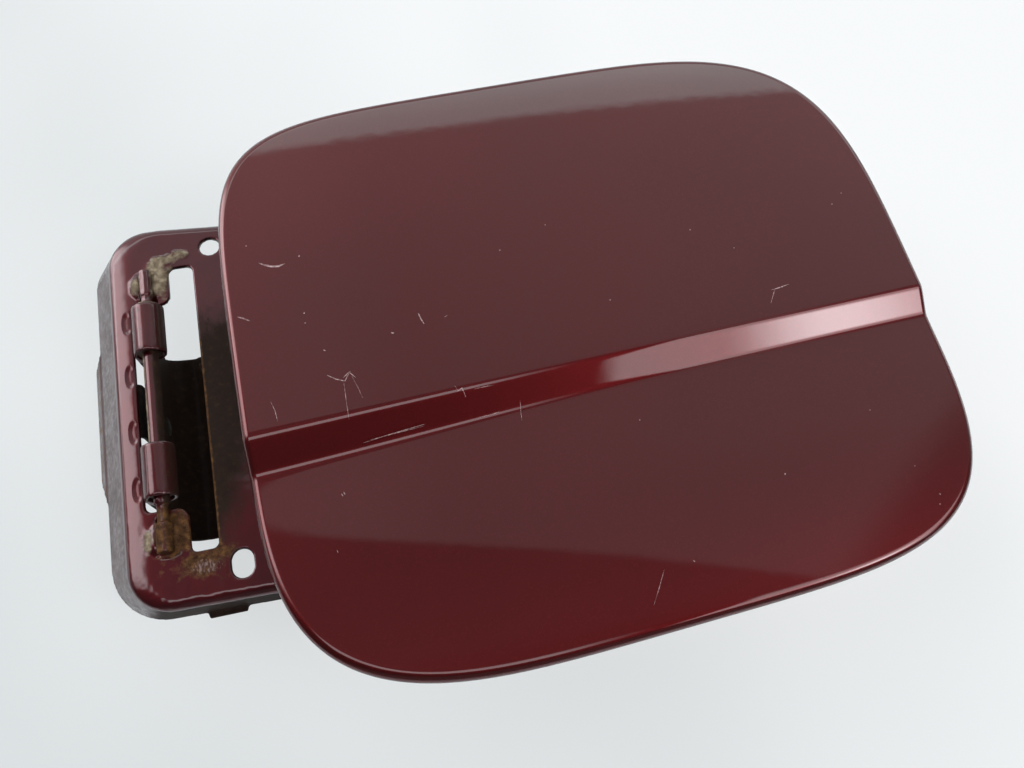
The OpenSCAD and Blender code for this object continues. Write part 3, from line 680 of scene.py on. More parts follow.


# Scratches and chips in the lid's lacquer, and four pale lines that are painted highlights of fine ripples:
# width and run of (x, y) places, in millimetres
SCRATCHES_AND_RIPPLE_HIGHLIGHTS = (
    (0.55, ((15.1, 25.8), (16.5, 24.9), (18.1, 24.2), (19.8, 24.0), (21.4, 24.5))),
    (0.3, ((8.4, 11.8), (9.7, 11.2), (11.3, 10.1))),
    (0.25, ((27.5, -7.5), (29.4, -8.9), (31.4, -9.8), (33.0, -7.5))),
    (0.2, ((31.1, -8.9), (32.7, -7.7), (34.1, -9.5))),
    (0.12, ((31.1, -10.2), (31.0, -14.6), (30.9, -19.4))),
    (0.1, ((33.2, -8.8), (34.2, -12.1), (34.9, -14.9))),
    (0.3, ((51.6, 4.7), (52.0, 3.0), (52.5, 1.5))),
    (0.2, ((57.7, 2.4), (58.7, 2.8))),
    (0.3, ((44.2, 0.6), (44.9, 0.4))),
    (0.25, ((27.5, -0.8), (28.1, -1.2))),
    (0.15, ((13.8, -11.7), (14.5, -14.1), (14.8, -16.9))),
    (0.12, ((71.8, -21.6), (71.2, -26.5))),
    (0.22, ((56.8, -16.0), (57.3, -17.3), (58.4, -16.8), (58.9, -18.9))),
    # The next four lines are painted highlights of fine ripples in the lacquer, drawn pale like the scratches
    (0.13, ((33.1, -24.9), (38.4, -24.2), (48.4, -23.2))),
    (0.1, ((34.8, -24.5), (42.0, -24.0), (47.9, -23.6))),
    (0.16, ((61.4, -23.8), (63.9, -23.8), (66.5, -23.4))),
    (0.12, ((61.2, -17.5), (63.6, -17.4), (66.1, -17.4))),
    (0.2, ((141.0, -8.7), (143.4, -5.0), (147.6, -4.3))),
    (0.15, ((142.3, -5.1), (145.7, -4.8))),
    (0.25, ((26.9, -35.4), (27.2, -36.2))),
    (0.25, ((26.4, -35.8), (26.7, -36.5))),
    (0.2, ((23.6, -48.5), (23.8, -49.2))),
    (0.12, ((90.8, -75.1), (93.0, -71.7), (95.2, -68.1))),
    (0.2, ((102.5, -67.3), (102.8, -67.8))),
)
# Single specks: chips that a stone leaves
SPECKS = ((24.2, 7.1), (24.3, 9.8), (25.1, 26.0), (12.5, 31.3), (172.1, 20.3), (168.2, 17.3), (136.5, 8.6),
          (163.6, -56.6), (167.2, -64.5), (166.2, -66.8), (130.6, -52.2), (88.6, 24.0), (99.8, -0.5),
          (99.5, -32.1), (75.3, 18.6), (126.4, 15.9), (157.8, -40.7))


class FUELDOOR_OT_scratches(bpy.types.Operator):
    """Lay the scratches, stone chips and four painted ripple highlights on the lid's lacquer as thin raised
    edges
    """
    bl_idname = "fuel_door.scratches"
    bl_label = "Scratches"

    def execute(self, context):
        form = LidForm(4, 4, 4, 4)
        # Height of each line's middle and of its borders above the lacquer
        lift, foot = 0.035, 0.012
        points, faces = [], []

        def strip(run, width):
            first = len(points)
            fine = []
            for a, b in zip(run, run[1:]):
                steps = max(2, int(math.dist(a, b) / 0.5))
                fine += [(mix(a[0], b[0], k / steps), mix(a[1], b[1], k / steps)) for k in range(steps)]
            fine.append(run[-1])
            total = len(fine) - 1
            for k, (x, y) in enumerate(fine):
                p, q = fine[max(k - 1, 0)], fine[min(k + 1, total)]
                dx, dy = q[0] - p[0], q[1] - p[1]
                length = math.hypot(dx, dy)
                wide = width * (0.15 + 0.85 * math.sin(math.pi * mix(0.06, 0.94, k / total)))
                wide *= 1 + 0.35 * rough(x, y, width, 0.8, 2)
                nx, ny = -dy / length * wide / 2, dx / length * wide / 2
                for side in (1, 0, -1):
                    px, py = x + side * nx, y + side * ny
                    points.append((px, py, form.skin_z(px, py) + (foot if side else lift)))
            for k in range(total):
                a = first + 3 * k
                faces.extend([(a, a + 1, a + 4, a + 3), (a + 1, a + 2, a + 5, a + 4)])

        for width, run in SCRATCHES_AND_RIPPLE_HIGHLIGHTS:
            strip(run, width)
        for x, y in SPECKS:
            reach = 0.16 + 0.06 * rough(x, y, 1, 3)
            strip(((x - reach, y - 0.5 * reach), (x, y), (x + reach, y + 0.6 * reach)), 2.2 * reach)
        marks = piece_from("lid_scratches_and_ripple_highlights", points, faces, scratched_lacquer_and_ripple_highlights(), "door")
        shade(marks)
        return {"FINISHED"}


class FUELDOOR_OT_inner_panel(bpy.types.Operator):
    """Build the pressed inner panel with its sloping wall and its round-ended slots"""
    bl_idname = "fuel_door.inner_panel"
    bl_label = "Inner Panel"

    def execute(self, context):
        form = LidForm(20, 10, 24, 56)
        top_drop = LID_SHEET + HEM_GAP
        low_drop = top_drop + INNER_SHEET
        edge = LID_SHEET + HEM_GAP + 1.5
        wall_w = FLAT_INSET - FLANGE_W
        steps = 10
        slope = [k / steps for k in range(1, steps)]

        def wall(s, drop, z):
            eased = smooth(0, 1, s)
            return [(x, y, mix(skin, z, eased)) for x, y, skin in form.loop(FLANGE_W + wall_w * s, drop)]

        upper = INNER_Z + INNER_SHEET
        loops = [form.level_loop(FLAT_INSET, upper)]
        loops += [wall(s, top_drop, upper) for s in reversed(slope)]
        loops += [form.loop(FLANGE_W, top_drop), form.loop(edge, top_drop), form.loop(edge, low_drop),
                  form.loop(FLANGE_W, low_drop)]
        loops += [wall(s, low_drop, INNER_Z) for s in slope]
        loops.append(form.level_loop(FLAT_INSET, INNER_Z))
        count = len(loops[0])
        points = [p for loop in loops for p in loop]
        faces = [tuple(range(count)), tuple((len(loops) - 1) * count + k for k in reversed(range(count)))]
        for ring in range(len(loops) - 1):
            a, b = ring * count, (ring + 1) * count
            faces += [(a + k, b + k, b + (k + 1) % count, a + (k + 1) % count) for k in range(count)]
        panel = loose("inner_panel_sheet", points, faces)
        tools = []
        z0, z1 = INNER_Z - 1, INNER_Z + INNER_SHEET + 1
        half = LIGHTENING_HALF - LIGHTENING_R
        holes = [(x, RIVET_Y, RIVET_R) for x in RIVET_X]
        for side in (-1, 1):
            y = form.cy + side * LIGHTENING_Y
            outline = arc(form.cx + half, y, LIGHTENING_R, -90, 90, 16) \
                + arc(form.cx - half, y, LIGHTENING_R, 90, 270, 16)
            tools.append(loose("slot_tool", *prism(outline, z0, z1)))
            holes.append((STEM_X, form.cy + side * STEM_Y, STEM_R))
        tools += [loose("hole_tool", *prism(round_outline(*hole), z0, z1)) for hole in holes]
        cut(panel, tools)
        panel.name = "inner_panel"
        soften = panel.modifiers.new("soften", "BEVEL")
        soften.width = 0.12 * MM
        soften.segments = 2
        soften.limit_method = "ANGLE"
        soften.angle_limit = math.radians(60)
        applied(panel)
        outward(panel.data)
        shade(panel, 40)
        tie(panel, thin_paint("overspray_on_inner_panel", "#4a2426", "#33201e", 14, 0.5, 0.15), "door",
            ["lid_inner_panel"])
        return {"FINISHED"}


# Hinge base, in millimetres from the middle of the fixing holes
BASE_HALF = 51.8
BASE_LEFT = 25.5
BASE_RIGHT = 10.0
WALL_DEPTH = 11.0
WALL_FLARE = 4.9
BEND_W = 3.8
MARGIN_W = 6.6
MARGIN_OUT = 1.6
MARGIN_END = 2.6
WALL_TILT = 56
TOP_FALL = 2.0
TOP_RISE = 0.5
WINDOW_LEFT = 21.5
WINDOW_TOP = 28.4
WINDOW_BOTTOM = -27.5
WINDOW_RIGHT = 5.1
SLOT_W = 6.3
WINDOW_HALF = 39.0
SADDLE_TOP = 34.5
SADDLE_BOTTOM = -34.65
HEAD_LEN = 7.4
HOLE_Y = 44.0
HOLE_R = 2.65
SLOT_SHIFT = 0.85
# Punch marks beside the window: places along the hinge, distance from the holes, size and depth
DENTS = (24.3, 9.1, -6.2, -21.2)
DENT_X = -22.7
DENT_REACH = (1.5, 3.5)
DENT_DEPTH = 0.24


def base_rings(inward):
    """Rings of points from the flat over the bend and down the wall; inward is the sheet thickness or 0."""
    z = sizes().base_sheet / MM - inward
    rings = []
    steps = 22
    drop = 0.0
    for k in range(steps + 1):
        # The margin leans out slowly, then turns down tightly into the flared wall
        t = k / steps
        tilt = math.radians(20 * t + (WALL_TILT - 20) * t ** 10)
        if k:
            drop += math.tan(tilt) * MARGIN_W / steps
        lean = math.sin(t * math.pi / 2)
        corner = mix(7.4, 10.2, t) - inward * lean
        rings.append((BASE_LEFT + MARGIN_OUT - MARGIN_W * (1 - t) - inward * math.sin(tilt),
                      BASE_HALF - MARGIN_END * (1 - t) - inward * lean, corner, corner + 0.9 * t,
                      z - drop + inward * (1 - math.cos(tilt))))
    bend_left, bend_half, _, _, bend_z = rings[-1]
    foot = BASE_LEFT + BEND_W + WALL_FLARE - inward / math.sin(math.radians(WALL_TILT))
    for k in range(1, 7):
        t = k / 6
        rings.append((mix(bend_left, foot, t), bend_half + 0.1 * t, 10.2 - inward, mix(11.1, 15, t) - inward,
                      mix(bend_z, -WALL_DEPTH, t)))
    out = []
    for left, half, r_top, r_low, z in rings:
        top = half + TOP_RISE
        ring = [(x, top - TOP_FALL * (x + 13) / 24) for x in (BASE_RIGHT, 5, 0, -4, -8, -13)]
        ring += arc(r_top - left, top - r_top, r_top, 90, 180, 14)
        ring += [(-left, y) for y in (30, 20, 10, 0, -10, -20, -30)]
        ring += arc(r_low - left, r_low - half, r_low, 180, 270, 16)
        ring += [(mix(r_low - left, BASE_RIGHT, s), -half - 0.7 * smooth(0, 1, s)) for s in (0.5, 1)]
        # The top wall runs out towards the right, clear of the round hole
        out.append([(x, y, z if y < 0 or z > bend_z else mix(z, bend_z, 0.78 * smooth(-17, -7, x)))
                    for x, y in ring])
    return out


def base_solid():
    outer, inner = base_rings(0), base_rings(sizes().base_sheet / MM)
    count = len(outer[0])
    points = [p for ring in outer + inner for p in ring]
    rings = len(outer)
    faces = [tuple(range(count)), tuple(rings * count + k for k in reversed(range(count)))]
    for start_ring in (0, rings):
        for n in range(rings - 1):
            a, b = (start_ring + n) * count, (start_ring + n + 1) * count
            faces += [(a + k, b + k, b + k + 1, a + k + 1) for k in range(count - 1)]
    last_out, last_in = (rings - 1) * count, (2 * rings - 1) * count
    faces += [(last_out + k, last_in + k, last_in + k + 1, last_out + k + 1) for k in range(count - 1)]
    # The free edge on the right: down the outer rings at one end and back along the inner ones
    top_out = [n * count for n in range(rings)]
    top_in = [(rings + n) * count for n in range(rings)]
    low_out = [n * count + count - 1 for n in range(rings)]
    low_in = [(rings + n) * count + count - 1 for n in range(rings)]
    faces.append(tuple(reversed(top_out)) + tuple(low_out) + tuple(reversed(low_in)) + tuple(top_in))
    return loose("hinge_base_sheet", points, faces)


def saddle(centre, radii):
    """The rounded boss that carries a head of the pin."""
    work = bmesh.new()
    bmesh.ops.create_icosphere(work, subdivisions=3, radius=1.0)
    for v in work.verts:
        v.co = Vector(tuple((c + r * q) * MM for c, r, q in zip(centre, radii, v.co)))
    mesh = bpy.data.meshes.new("saddle")
    work.to_mesh(mesh)
    work.free()
    return placed("saddle", mesh)


def near(x, y, place, reach):
    """1 at a place, 0 at the edge of an ellipse about it, negative beyond."""
    return 1 - math.hypot((x - place[0]) / reach[0], (y - place[1]) / reach[1])


def grease_at(x, y):
    """Where sand-coloured dried grease lies on the hinge base."""
    lobe = near(x, y, (-14.1, 36.2), (5.0, 8.0))
    left = near(x, y, (-20.0, 34.5), (2.2, 5.2)) - 0.12
    bridge = near(x, y, (-12.4, 41.4), (5.2, 2.6))
    spot = near(x, y, (-7.9, 42.6), (3.2, 2.4)) - 0.1
    crumbs = near(x, y, (-21.2, -34.5), (2.2, 4.8)) - 0.1
    return 1.5 * max(lobe, left, bridge, spot, crumbs) + 0.3 * rough(x, y, 0, 3.0)


def film_at(x, y):
    """Where a dark brown film covers the strip beside the window."""
    foot = 2.2 * (x + 6)
    strip = min(smooth(32, 10, y), smooth(foot - 58, foot - 24, y)) * smooth(-6.5, -5.0, x)
    return strip * (1.05 + 0.35 * rough(x, y * 0.6, 0, 4.0))


def rust_at(x, y):
    """Where brown rust shows: the lower saddle, the plate below it and the window's right edge."""
    boss = near(x, y, (-15.2, -34.0), (7.2, 8.6))
    plate = 0.7 * near(x, y, (-8.5, -41.8), (11.5, 6.0))
    edge = 0.9 * smooth(-4.3, -4.7, x) * smooth(-5.9, -5.4, x) * smooth(24, 14, y)
    return max(1.4 * max(boss, plate) + 0.4 * rough(x, y, 0, 3.5), edge if y > -39 else 0)


def scuff_at(x, y):
    """Where the plate is scratched bright."""
    return max(near(x, y, (-8.5, -43.0), (10.5, 5.5)), 0.7 * near(x, y, (-23.0, -33), (3.0, 6.0)))


class FUELDOOR_OT_hinge_base(bpy.types.Operator):
    """Build the pressed hinge base with its window, holes, pin saddles, dents, rust and grease"""
    bl_idname = "fuel_door.hinge_base"
    bl_label = "Hinge Base"

    def execute(self, context):
        s = sizes()
        pin = (s.pin_x / MM, s.pin_z / MM)
        base = base_solid()
        sheet = s.base_sheet / MM
        low, high = -3.0, sheet + 3.0
        narrow = -WINDOW_RIGHT - SLOT_W
        window = filleted([
            (-WINDOW_RIGHT, WINDOW_HALF, 1.7), (narrow, WINDOW_HALF, 1.7), (narrow, WINDOW_TOP, 3.0),
            (-WINDOW_LEFT, WINDOW_TOP, 2.0), (-WINDOW_LEFT, WINDOW_BOTTOM, 2.0), (narrow, WINDOW_BOTTOM, 3.0),
            (narrow, -WINDOW_HALF, 1.2), (-WINDOW_RIGHT, -WINDOW_HALF, 1.2)])
        slot = arc(0, SLOT_SHIFT - HOLE_Y, HOLE_R, 0, 180, 24) \
            + arc(0, -SLOT_SHIFT - HOLE_Y, HOLE_R, 180, 360, 24)
        hole = round_outline(0, HOLE_Y, HOLE_R)
        cut(base, [loose("cutter", *prism(outline, low, high)) for outline in (window, hole, slot)])
        # The lip on the left wall: its upper edge on the wall, its lower edge shorter and further out
        wall_x = -BASE_LEFT - BEND_W - WALL_FLARE
        lip = []
        for x, y_low, y_high, z in ((wall_x, -20, 22.5, -10.5), (wall_x - 2.4, -13, 19, -14)):
            lip += [(x, y_low, z), (x, y_high, z), (x + sheet, y_high, z), (x + sheet, y_low, z)]
        lip_faces = [(0, 1, 2, 3), (4, 7, 6, 5), (0, 4, 5, 1), (1, 5, 6, 2), (2, 6, 7, 3), (3, 7, 4, 0)]
        tab_out, tab_in = -BASE_HALF - 1.8, -BASE_HALF + 0.8
        tab = [(-11.5, tab_out), (-2.1, tab_out), (-2.1, tab_in), (-11.5, tab_in)]
        join_all(base, [loose("lip", lip, lip_faces),
                        loose("tab", *prism(tab, -WALL_DEPTH, -WALL_DEPTH + sheet)),
                        saddle((pin[0], SADDLE_TOP, 0.9), (4.7, 4.9, 2.1)),
                        saddle((pin[0] + 0.2, SADDLE_BOTTOM, 0.9), (4.9, 5.0, 2.3))])
        mesh = reskin(base, 0.4, 2)
        head_low, head_high = SADDLE_BOTTOM - HEAD_LEN / 2 - 0.3, SADDLE_TOP + HEAD_LEN / 2 + 0.3

        def depth(x, y, z, n):
            if n.z < 0.5 or z < 0.4:
                return 0.012 * rough(x, y, z, 5.0) if abs(n.z) < 0.6 else 0.02 * rough(x, y, z, 2.5)
            # Lumps of paint, grease and rust on the plate
            move = 0.02 * rough(x, y, z, 4.0)
            move += smooth(0.1, 0.9, grease_at(x, y)) * (0.2 + 0.28 * rough(x, y, z, 2.2))
            move += smooth(0.1, 0.8, rust_at(x, y)) * 0.14 * rough(x, y, z, 1.4)
            foot = smooth(-40, -47, y) * smooth(8, -4, x)
            corner = smooth(-26, -30, y) * smooth(-21, -24, x)
            move += 0.06 * max(foot, 0.6 * corner) * rough(x, y, z, 2.2)
            # The grooves stay open round the pin's heads
            gap = abs(x - pin[0])
            if gap < 2.4 and head_low < y < head_high and abs(y) > 29:
                move = min(move, 0.1) - 1.1 * (1 - (gap / 2.4) ** 2)
            return move

        relief(mesh, depth)
        # Shallow punch marks beside the window
        for v in mesh.vertices:
            x, y, z = (c / MM for c in v.co)
            for dent in DENTS:
                share = near(x, y, (DENT_X, dent), DENT_REACH)
                if z > 0.6 and share > 0:
                    v.co.z -= DENT_DEPTH * smooth(0.0, 0.4, share) * MM
        mesh.update()
        # Rust, grease and scuffs lie on the flat, above this height
        plate = 0.2

        # Below the plate the walls and underside get the film colours, darker on the bottom end wall and its
        # tab; above it the strip beside the window gets them from film_at
        def film_and_shade(x, y, z, n):
            if z > -0.5:
                return film_at(x, y)
            return 0.34 + 0.12 * rough(x, y, z, 8) + 0.6 * smooth(-49.5, -52, y)

        def rust(x, y, z, n):
            return rust_at(x, y) if z > plate else 0.35 * smooth(-9.8, -11.0, z) + 0.2 * rough(x, y, z, 5)

        paint_masks(mesh, film_and_shade, rust, lambda x, y, z, n: grease_at(x, y) if z > plate else 0.0,
                    lambda x, y, z, n: scuff_at(x, y) if z > plate else 0.0)
        base.name = "hinge_base_sheet"
        shade(base)
        tie(base, worn_paint("burgundy_paint_on_hinge_base"), "base", ["hinge_base"])
        return {"FINISHED"}


class FUELDOOR_OT_hinge_pin(bpy.types.Operator):
    """Build the turned hinge pin with its necks and its two staked heads"""
    bl_idname = "fuel_door.hinge_pin"
    bl_label = "Hinge Pin"

    def execute(self, context):
        s = sizes()
        r = s.pin_d / MM / 2
        head_top, head_low = SADDLE_TOP - HEAD_LEN / 2, SADDLE_BOTTOM + HEAD_LEN / 2
        neck, top_r, turn = 1.35, 1.6, 0.35
        shank_low, shank_top = -26.2, 28.1
        foot = head_low - HEAD_LEN
        profile = [(0.9, foot), (r - 0.15, foot + 0.1), (r, foot + turn)]
        profile += [(r, mix(foot + turn, head_low - turn, k / 12)) for k in range(1, 13)]
        profile += [(r - 0.2, head_low - 0.1), (neck, head_low + 0.25), (neck, (head_low + shank_low) / 2),
                    (neck, shank_low - 0.7), (neck + 0.25, shank_low - 0.3), (r, shank_low)]
        profile += [(r, mix(shank_low, shank_top, k / 40)) for k in range(1, 41)]
        profile += [(neck + 0.2, shank_top + 0.3), (neck, shank_top + 0.7), (neck, head_top - 0.5),
                    (top_r - 0.15, head_top - 0.1), (top_r, head_top + 0.2)]
        profile += [(top_r, mix(head_top + 0.2, head_top + HEAD_LEN - turn, k / 12)) for k in range(1, 13)]
        profile += [(top_r - 0.12, head_top + HEAD_LEN - 0.1), (0.8, head_top + HEAD_LEN)]
        points, faces = lathe(profile, 40, s.pin_x / MM, s.pin_z / MM)
        pin = piece_from("hinge_pin_turned", points, faces, worn_paint("burgundy_paint_on_pin"), "base",
                         ["hinge_pin"])
        outward(pin.data)

        def depth(x, y, z, n):
            if abs(y) < 28.5:
                return 0.012 * rough(x, y, z, 2.0)
            # Facets that the staking tool pressed along the heads
            face = max(0.0, n.dot(Vector((-0.35, 0, 0.94))) - 0.93) * 2.2
            return 0.05 * rough(x, y, z, 1.2) - face

        relief(pin.data, depth)

        # Painted shade: the dark film colours darken the side turned towards the latch, away from the
        # hinge-side light
        def film_and_shade(x, y, z, n):
            dark = smooth(0.15, 0.6, n.x) if y < 28.5 else 0.5 * smooth(0.6, 0.9, n.x)
            return dark + 0.2 * rough(x, y, z, 3)

        def rust(x, y, z, n):
            brown = 0.8 if y < -28 and abs(n.x - 0.1) > 0.25 else 0.4 if y < -26.3 else 0.0
            return brown + 0.25 * rough(x, y, z, 2)

        # Painted highlight: the pale grease colours lighten the side turned towards the hinge-side light; on
        # the upper head's sides it is dried grease
        def grease_and_highlight(x, y, z, n):
            if abs(y) < 26:
                return 0.75 * smooth(-0.5, -0.8, n.x)
            return (0.5 if y > 29 and abs(n.x) > 0.8 else 0.0) + 0.25 * rough(x, y, z, 1.5)

        # Painted shade in the dark film colours on the side away from the hinge edge, painted highlight in
        # tan grease colours on the side facing it, dried grease beside the upper head, rust on the lower head
        paint_masks(pin.data, film_and_shade, rust, grease_and_highlight, lambda x, y, z, n: 0.2 if y < -28 else 0.0)
        shade(pin, 50)
        return {"FINISHED"}


class FUELDOOR_OT_arm(bpy.types.Operator):
    """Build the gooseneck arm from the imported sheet, with painted, slightly rounded edges"""
    bl_idname = "fuel_door.arm"
    bl_label = "Gooseneck Arm"

    def execute(self, context):
        arm = copied("hinge_arm", "gooseneck_arm")
        mesh = reskin(arm, 0.5, 2)
        relief(mesh, lambda x, y, z, n: 0.02 * rough(x, y, z, 3.0))

        # Painted shade: the knuckles' side turned towards the latch is darkened with the film colours; below
        # the lid the bend gets full film colours, partly road film and partly painted shade
        def film_and_shade(x, y, z, n):
            if z > -1.2 and x < -12:
                return 0.1 + 0.6 * smooth(0.3, 0.9, n.x)
            return 1.2 if x < 22.6 and z < 10 else 0.5 + 0.3 * rough(x, y, z, 8)

        # Painted highlight: the pale grease colours on the upward faces near the bend's upper edge stand for
        # light falling there from above
        def grease_and_highlight(x, y, z, n):
            return 0.42 * smooth(18, 22, y) if n.z > 0.3 and z < 1 and x > -12 else 0.0

        # The bend below the lid is dark with road film and painted shade, with a painted highlight in grease
        # colours along its upper edge; the knuckles are cleaner, with painted shade on their latch side
        paint_masks(mesh, film_and_shade, lambda x, y, z, n: 0.0, grease_and_highlight, lambda x, y, z, n: 0.0)
        shade(arm)
        tie(arm, worn_paint("burgundy_paint_on_arm"), "door", ["hinge_arm"])
        return {"FINISHED"}


class FUELDOOR_OT_small_parts(bpy.types.Operator):
    """Give the bushes, spring, rivets, striker, buffers and mastic pads their finishes"""
    bl_idname = "fuel_door.small_parts"
    bl_label = "Small Parts"

    def execute(self, context):
        finishes = (
            (worn_steel("plain_steel_browned", "#6b5a4c", "#43301f", 0.42, 1.2),
             ("upper_bush", "lower_bush")),
            (worn_steel("blackened_spring_steel", "#2c2826", "#3d2c22", 0.5, 4.0), ("pop_up_spring",)),
            (worn_steel("zinc_plated_rivet_steel", "#8f8b83", "#6a5c4d", 0.38, 2.0),
             ("upper_spring_rivet", "lower_spring_rivet", "outer_striker_rivet", "inner_striker_rivet")),
            (worn_steel("yellow_zinc_plated_steel", "#9c9784", "#847052", 0.34, 6.0),
             ("striker", "striker_backing_plate")),
            (moulded_rubber(), ("upper_buffer", "lower_buffer")),
            (cured_mastic(), ("hinge_top_mastic_pad", "hinge_bottom_mastic_pad", "latch_top_mastic_pad",
                              "latch_bottom_mastic_pad")),
        )
        for material, names in finishes:
            for name in names:
                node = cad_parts[name]
                node.data.materials.clear()
                node.data.materials.append(material)
        return {"FINISHED"}


# ---------------------------------------------------------------- stage

def floor_cloth():
    """Plain pale woven cloth laid flat, which gives a soft shadow and no gloss."""
    material, tree, place = start("pale_cloth_floor")
    # Thread spacing about 0.4 mm; it shows only as a soft grain
    weave = grit(tree, place, 1.0, 3.0, 0.1, 0.1)
    fold = add(tree, "TexNoise", {"Vector": place, "Scale": 1 / (120 * MM), "Detail": 1.0})
    # Painted light: paler towards the far side and the latch side, where the room light falls more brightly
    away = add(tree, "VectorMath", {0: place, 1: (3.5, 2.4, 0)}, operation="DOT_PRODUCT")
    side = add(tree, "Math", {0: away.outputs["Value"], 1: fold.outputs[0]})
    tint = add(tree, "MapRange", {"Value": side.outputs[0], "From Min": 0.16, "From Max": 1.16})
    tone = add(tree, "Mix", {0: tint.outputs[0], 6: (*colours().floor, 1), 7: rgba("#f6f7f8")},
               data_type="RGBA")
    cloth = add(tree, "BsdfPrincipled", {"Base Color": tone.outputs[2], "Roughness": 0.95,
                                         "Specular IOR Level": 0.1, "Normal": weave})
    # The camera sees the cloth near white; its shadow stays
    glow = add(tree, "Emission", {"Color": tone.outputs[2], "Strength": 1.0})
    ray = add(tree, "LightPath")
    share = add(tree, "Math", {0: ray.outputs["Is Camera Ray"], 1: 0.8}, operation="MULTIPLY")
    shader = add(tree, "MixShader", {0: share.outputs[0], 1: cloth.outputs[0], 2: glow.outputs[0]})
    close(tree, shader)
    return material


def light_patch(tree, place, strength, edges):
    """A patch of room light: each edge is a direction and the two shares between which the light eases in."""
    value = strength
    for direction, low, high in edges:
        along = add(tree, "VectorMath", {0: place, 1: direction}, operation="DOT_PRODUCT")
        ease = add(tree, "MapRange", {"Value": along.outputs["Value"], "From Min": low,
                                      "From Max": high}, interpolation_type="SMOOTHSTEP")
        value = add(tree, "Math", {0: ease.outputs[0], 1: value}, operation="MULTIPLY").outputs[0]
    return value


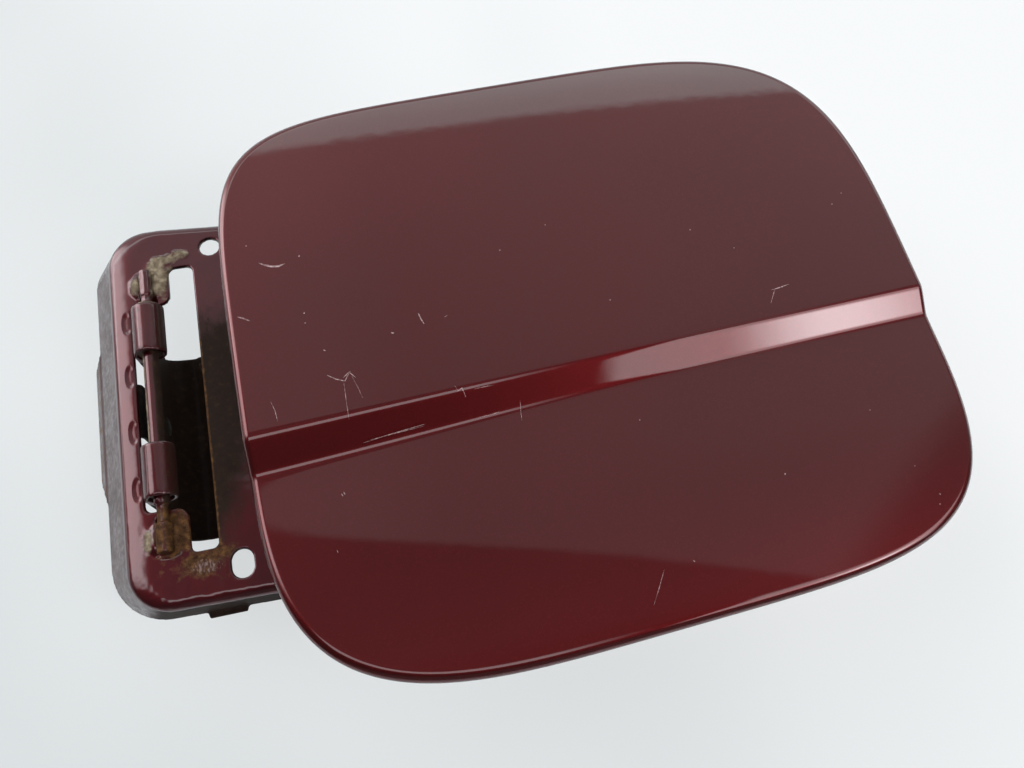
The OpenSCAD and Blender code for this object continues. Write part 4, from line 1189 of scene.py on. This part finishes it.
class FUELDOOR_OT_stage(bpy.types.Operator):
    """Set up the pale floor, the soft studio light and the camera"""
    bl_idname = "fuel_door.stage"
    bl_label = "Stage"

    def execute(self, context):
        scene = bpy.context.scene
        # Floor: a cloth with shallow folds, its highest point just under the part; cells grow outwards
        reach, cells = 4000.0, 160
        middle, top = (75, 0), -28.25
        points, faces = [], []
        for j in range(cells + 1):
            for i in range(cells + 1):
                u, v = 2 * i / cells - 1, 2 * j / cells - 1
                x, y = reach * u * abs(u) + 70, reach * v * abs(v)
                fold = noise.noise(Vector((x / 160, y / 210, 0.5)))
                fold += 0.4 * noise.noise(Vector((x / 60, y / 90, 3)))
                away = smooth(60, 260, math.dist((x, y), middle))
                points.append((x, y, top - 0.1 * abs(fold) + away * (fold - 1)))
        for j in range(cells):
            for i in range(cells):
                a = j * (cells + 1) + i
                faces.append((a, a + 1, a + cells + 2, a + cells + 1))
        floor = placed("floor_cloth", mesh_of("floor_cloth", points, faces))
        floor.data.materials.append(floor_cloth())
        floor.data.shade_smooth()

        # Room light: dim overhead, brighter towards the far side and the hinge side, as in a pale room
        world = bpy.data.worlds.new("pale_room")
        scene.world = world
        world.use_nodes = True
        tree = world.node_tree
        tree.nodes.clear()
        place = add(tree, "TexCoord").outputs["Generated"]
        east, west, far, near = (1, 0, 0), (-1, 0, 0), (0, 1, 0), (0, -1, 0)
        white, sky, cool = linear("#fbfcff"), linear("#e4ffff"), linear("#ebfcff")
        patches = (
            # Pale wall on the far side, brighter upwards, with a bright strip along its top
            (cool, 0.38, (((0.53, 1, 0), 0.19, 0.208), ((-1, 0.6, 0), -0.54, -0.46))),
            (cool, 0.24, (((0.53, 1, 0), 0.2, 0.8),)),
            (cool, 0.12, ((west, -0.05, 0.14), ((0.53, 1, 0), 0.19, 0.208))),
            (sky, 1.6, (((0, 1, -0.965), -0.034, -0.014), ((0, -1, 0.965), -0.16, -0.10))),
            (sky, 0.9, (((0, 1, -0.965), -0.01, 0.07), ((0, -1, 0.965), -0.16, -0.10))),
            # Narrow light overhead, mirrored by the rounded borders of the crease
            (white, 3.0, ((near, 0.07, 0.12), (far, -0.31, -0.26), (west, -0.26, -0.10),
                          (east, -0.50, -0.40))),
            # Pale wall on the hinge side
            (white, 4.4, ((west, 0.40, 0.57), (east, -0.90, -0.80), (far, -0.06, 0.18),
                          (near, -0.80, -0.70))),
            # Window on the latch side, brightest in its middle
            (white, 3.4, (((1, -0.2, 0), 0.37, 0.405), (near, 0.04, 0.12), (far, -0.55, -0.48),
                          (west, -0.80, -0.70))),
            (white, 10.0, ((east, 0.43, 0.55), (near, 0.18, 0.36), (west, -0.70, -0.56),
                           (far, -0.50, -0.42))),
            (white, 0.15, ((near, 0.62, 0.80),)),
            # Dim ceiling
            (white, 0.15, ((far, -0.10, 0.0),)),
        )
        total = [0.07 * c for c in white]
        for tint, strength, edges in patches:
            share = light_patch(tree, place, strength, edges)
            patch = add(tree, "VectorMath", {0: tint, "Scale": share}, operation="SCALE")
            total = add(tree, "VectorMath", {0: patch.outputs[0], 1: total}).outputs[0]
        # The camera itself sees a plain pale wall
        ray = add(tree, "LightPath")
        seen = add(tree, "Mix", {0: ray.outputs["Is Camera Ray"], 6: total, 7: rgba("#e6e9ea")},
                   data_type="RGBA")
        glow = add(tree, "Background", {"Color": seen.outputs[2]})
        add(tree, "OutputWorld", {"Surface": glow.outputs[0]})

        # The camera: its place, its right and its line of sight, and a lens of 830 pixels in a width of 1024
        eye = Vector((40.84, -85.7, 206.35)) * MM
        right = Vector((0.9736, -0.2153, 0.0763)).normalized()
        ahead = Vector((0.1476, 0.3378, -0.9296)).normalized()
        up = right.cross(ahead).normalized()
        right = ahead.cross(up).normalized()
        camera = bpy.data.objects.new("camera", bpy.data.cameras.new("camera"))
        scene.collection.objects.link(camera)
        camera.matrix_world = Matrix((right, up, -ahead)).transposed().to_4x4()
        camera.location = eye
        camera.data.sensor_width = 36.0
        camera.data.lens = camera.data.sensor_width * 830 / 1024
        camera.data.clip_start = 0.005
        camera.data.clip_end = 20.0
        scene.camera = camera
        scene.view_settings.view_transform = "Standard"
        return {"FINISHED"}


# ---------------------------------------------------------------- add-on

class FUELDOOR_PT_panel(bpy.types.Panel):
    """Buttons and settings of the fuel door"""
    bl_idname = "FUELDOOR_PT_panel"
    bl_label = "Fuel Door"
    bl_space_type = "VIEW_3D"
    bl_region_type = "UI"
    bl_category = "Fuel Door"

    def draw(self, context):
        layout = self.layout
        for operator in OPERATORS:
            layout.operator(operator.bl_idname)
        for group in (sizes(), colours()):
            box_layout = layout.box()
            for name in group.__annotations__:
                box_layout.prop(group, name)


OPERATORS = (FUELDOOR_OT_outer_panel, FUELDOOR_OT_scratches, FUELDOOR_OT_inner_panel, FUELDOOR_OT_hinge_base,
             FUELDOOR_OT_hinge_pin, FUELDOOR_OT_arm, FUELDOOR_OT_small_parts, FUELDOOR_OT_stage)
CLASSES = (FuelDoorSizes, FuelDoorColours, *OPERATORS, FUELDOOR_PT_panel)


def register():
    for cls in CLASSES:
        bpy.utils.register_class(cls)
    bpy.types.Scene.fuel_door_sizes = PointerProperty(type=FuelDoorSizes)
    bpy.types.Scene.fuel_door_colours = PointerProperty(type=FuelDoorColours)


def unregister():
    del bpy.types.Scene.fuel_door_colours
    del bpy.types.Scene.fuel_door_sizes
    for cls in reversed(CLASSES):
        bpy.utils.unregister_class(cls)


def main():
    register()
    bpy.ops.fuel_door.outer_panel()
    bpy.ops.fuel_door.scratches()
    bpy.ops.fuel_door.inner_panel()
    bpy.ops.fuel_door.hinge_base()
    bpy.ops.fuel_door.hinge_pin()
    bpy.ops.fuel_door.arm()
    bpy.ops.fuel_door.small_parts()
    bpy.ops.fuel_door.stage()


if __name__ == "__main__":
    main()
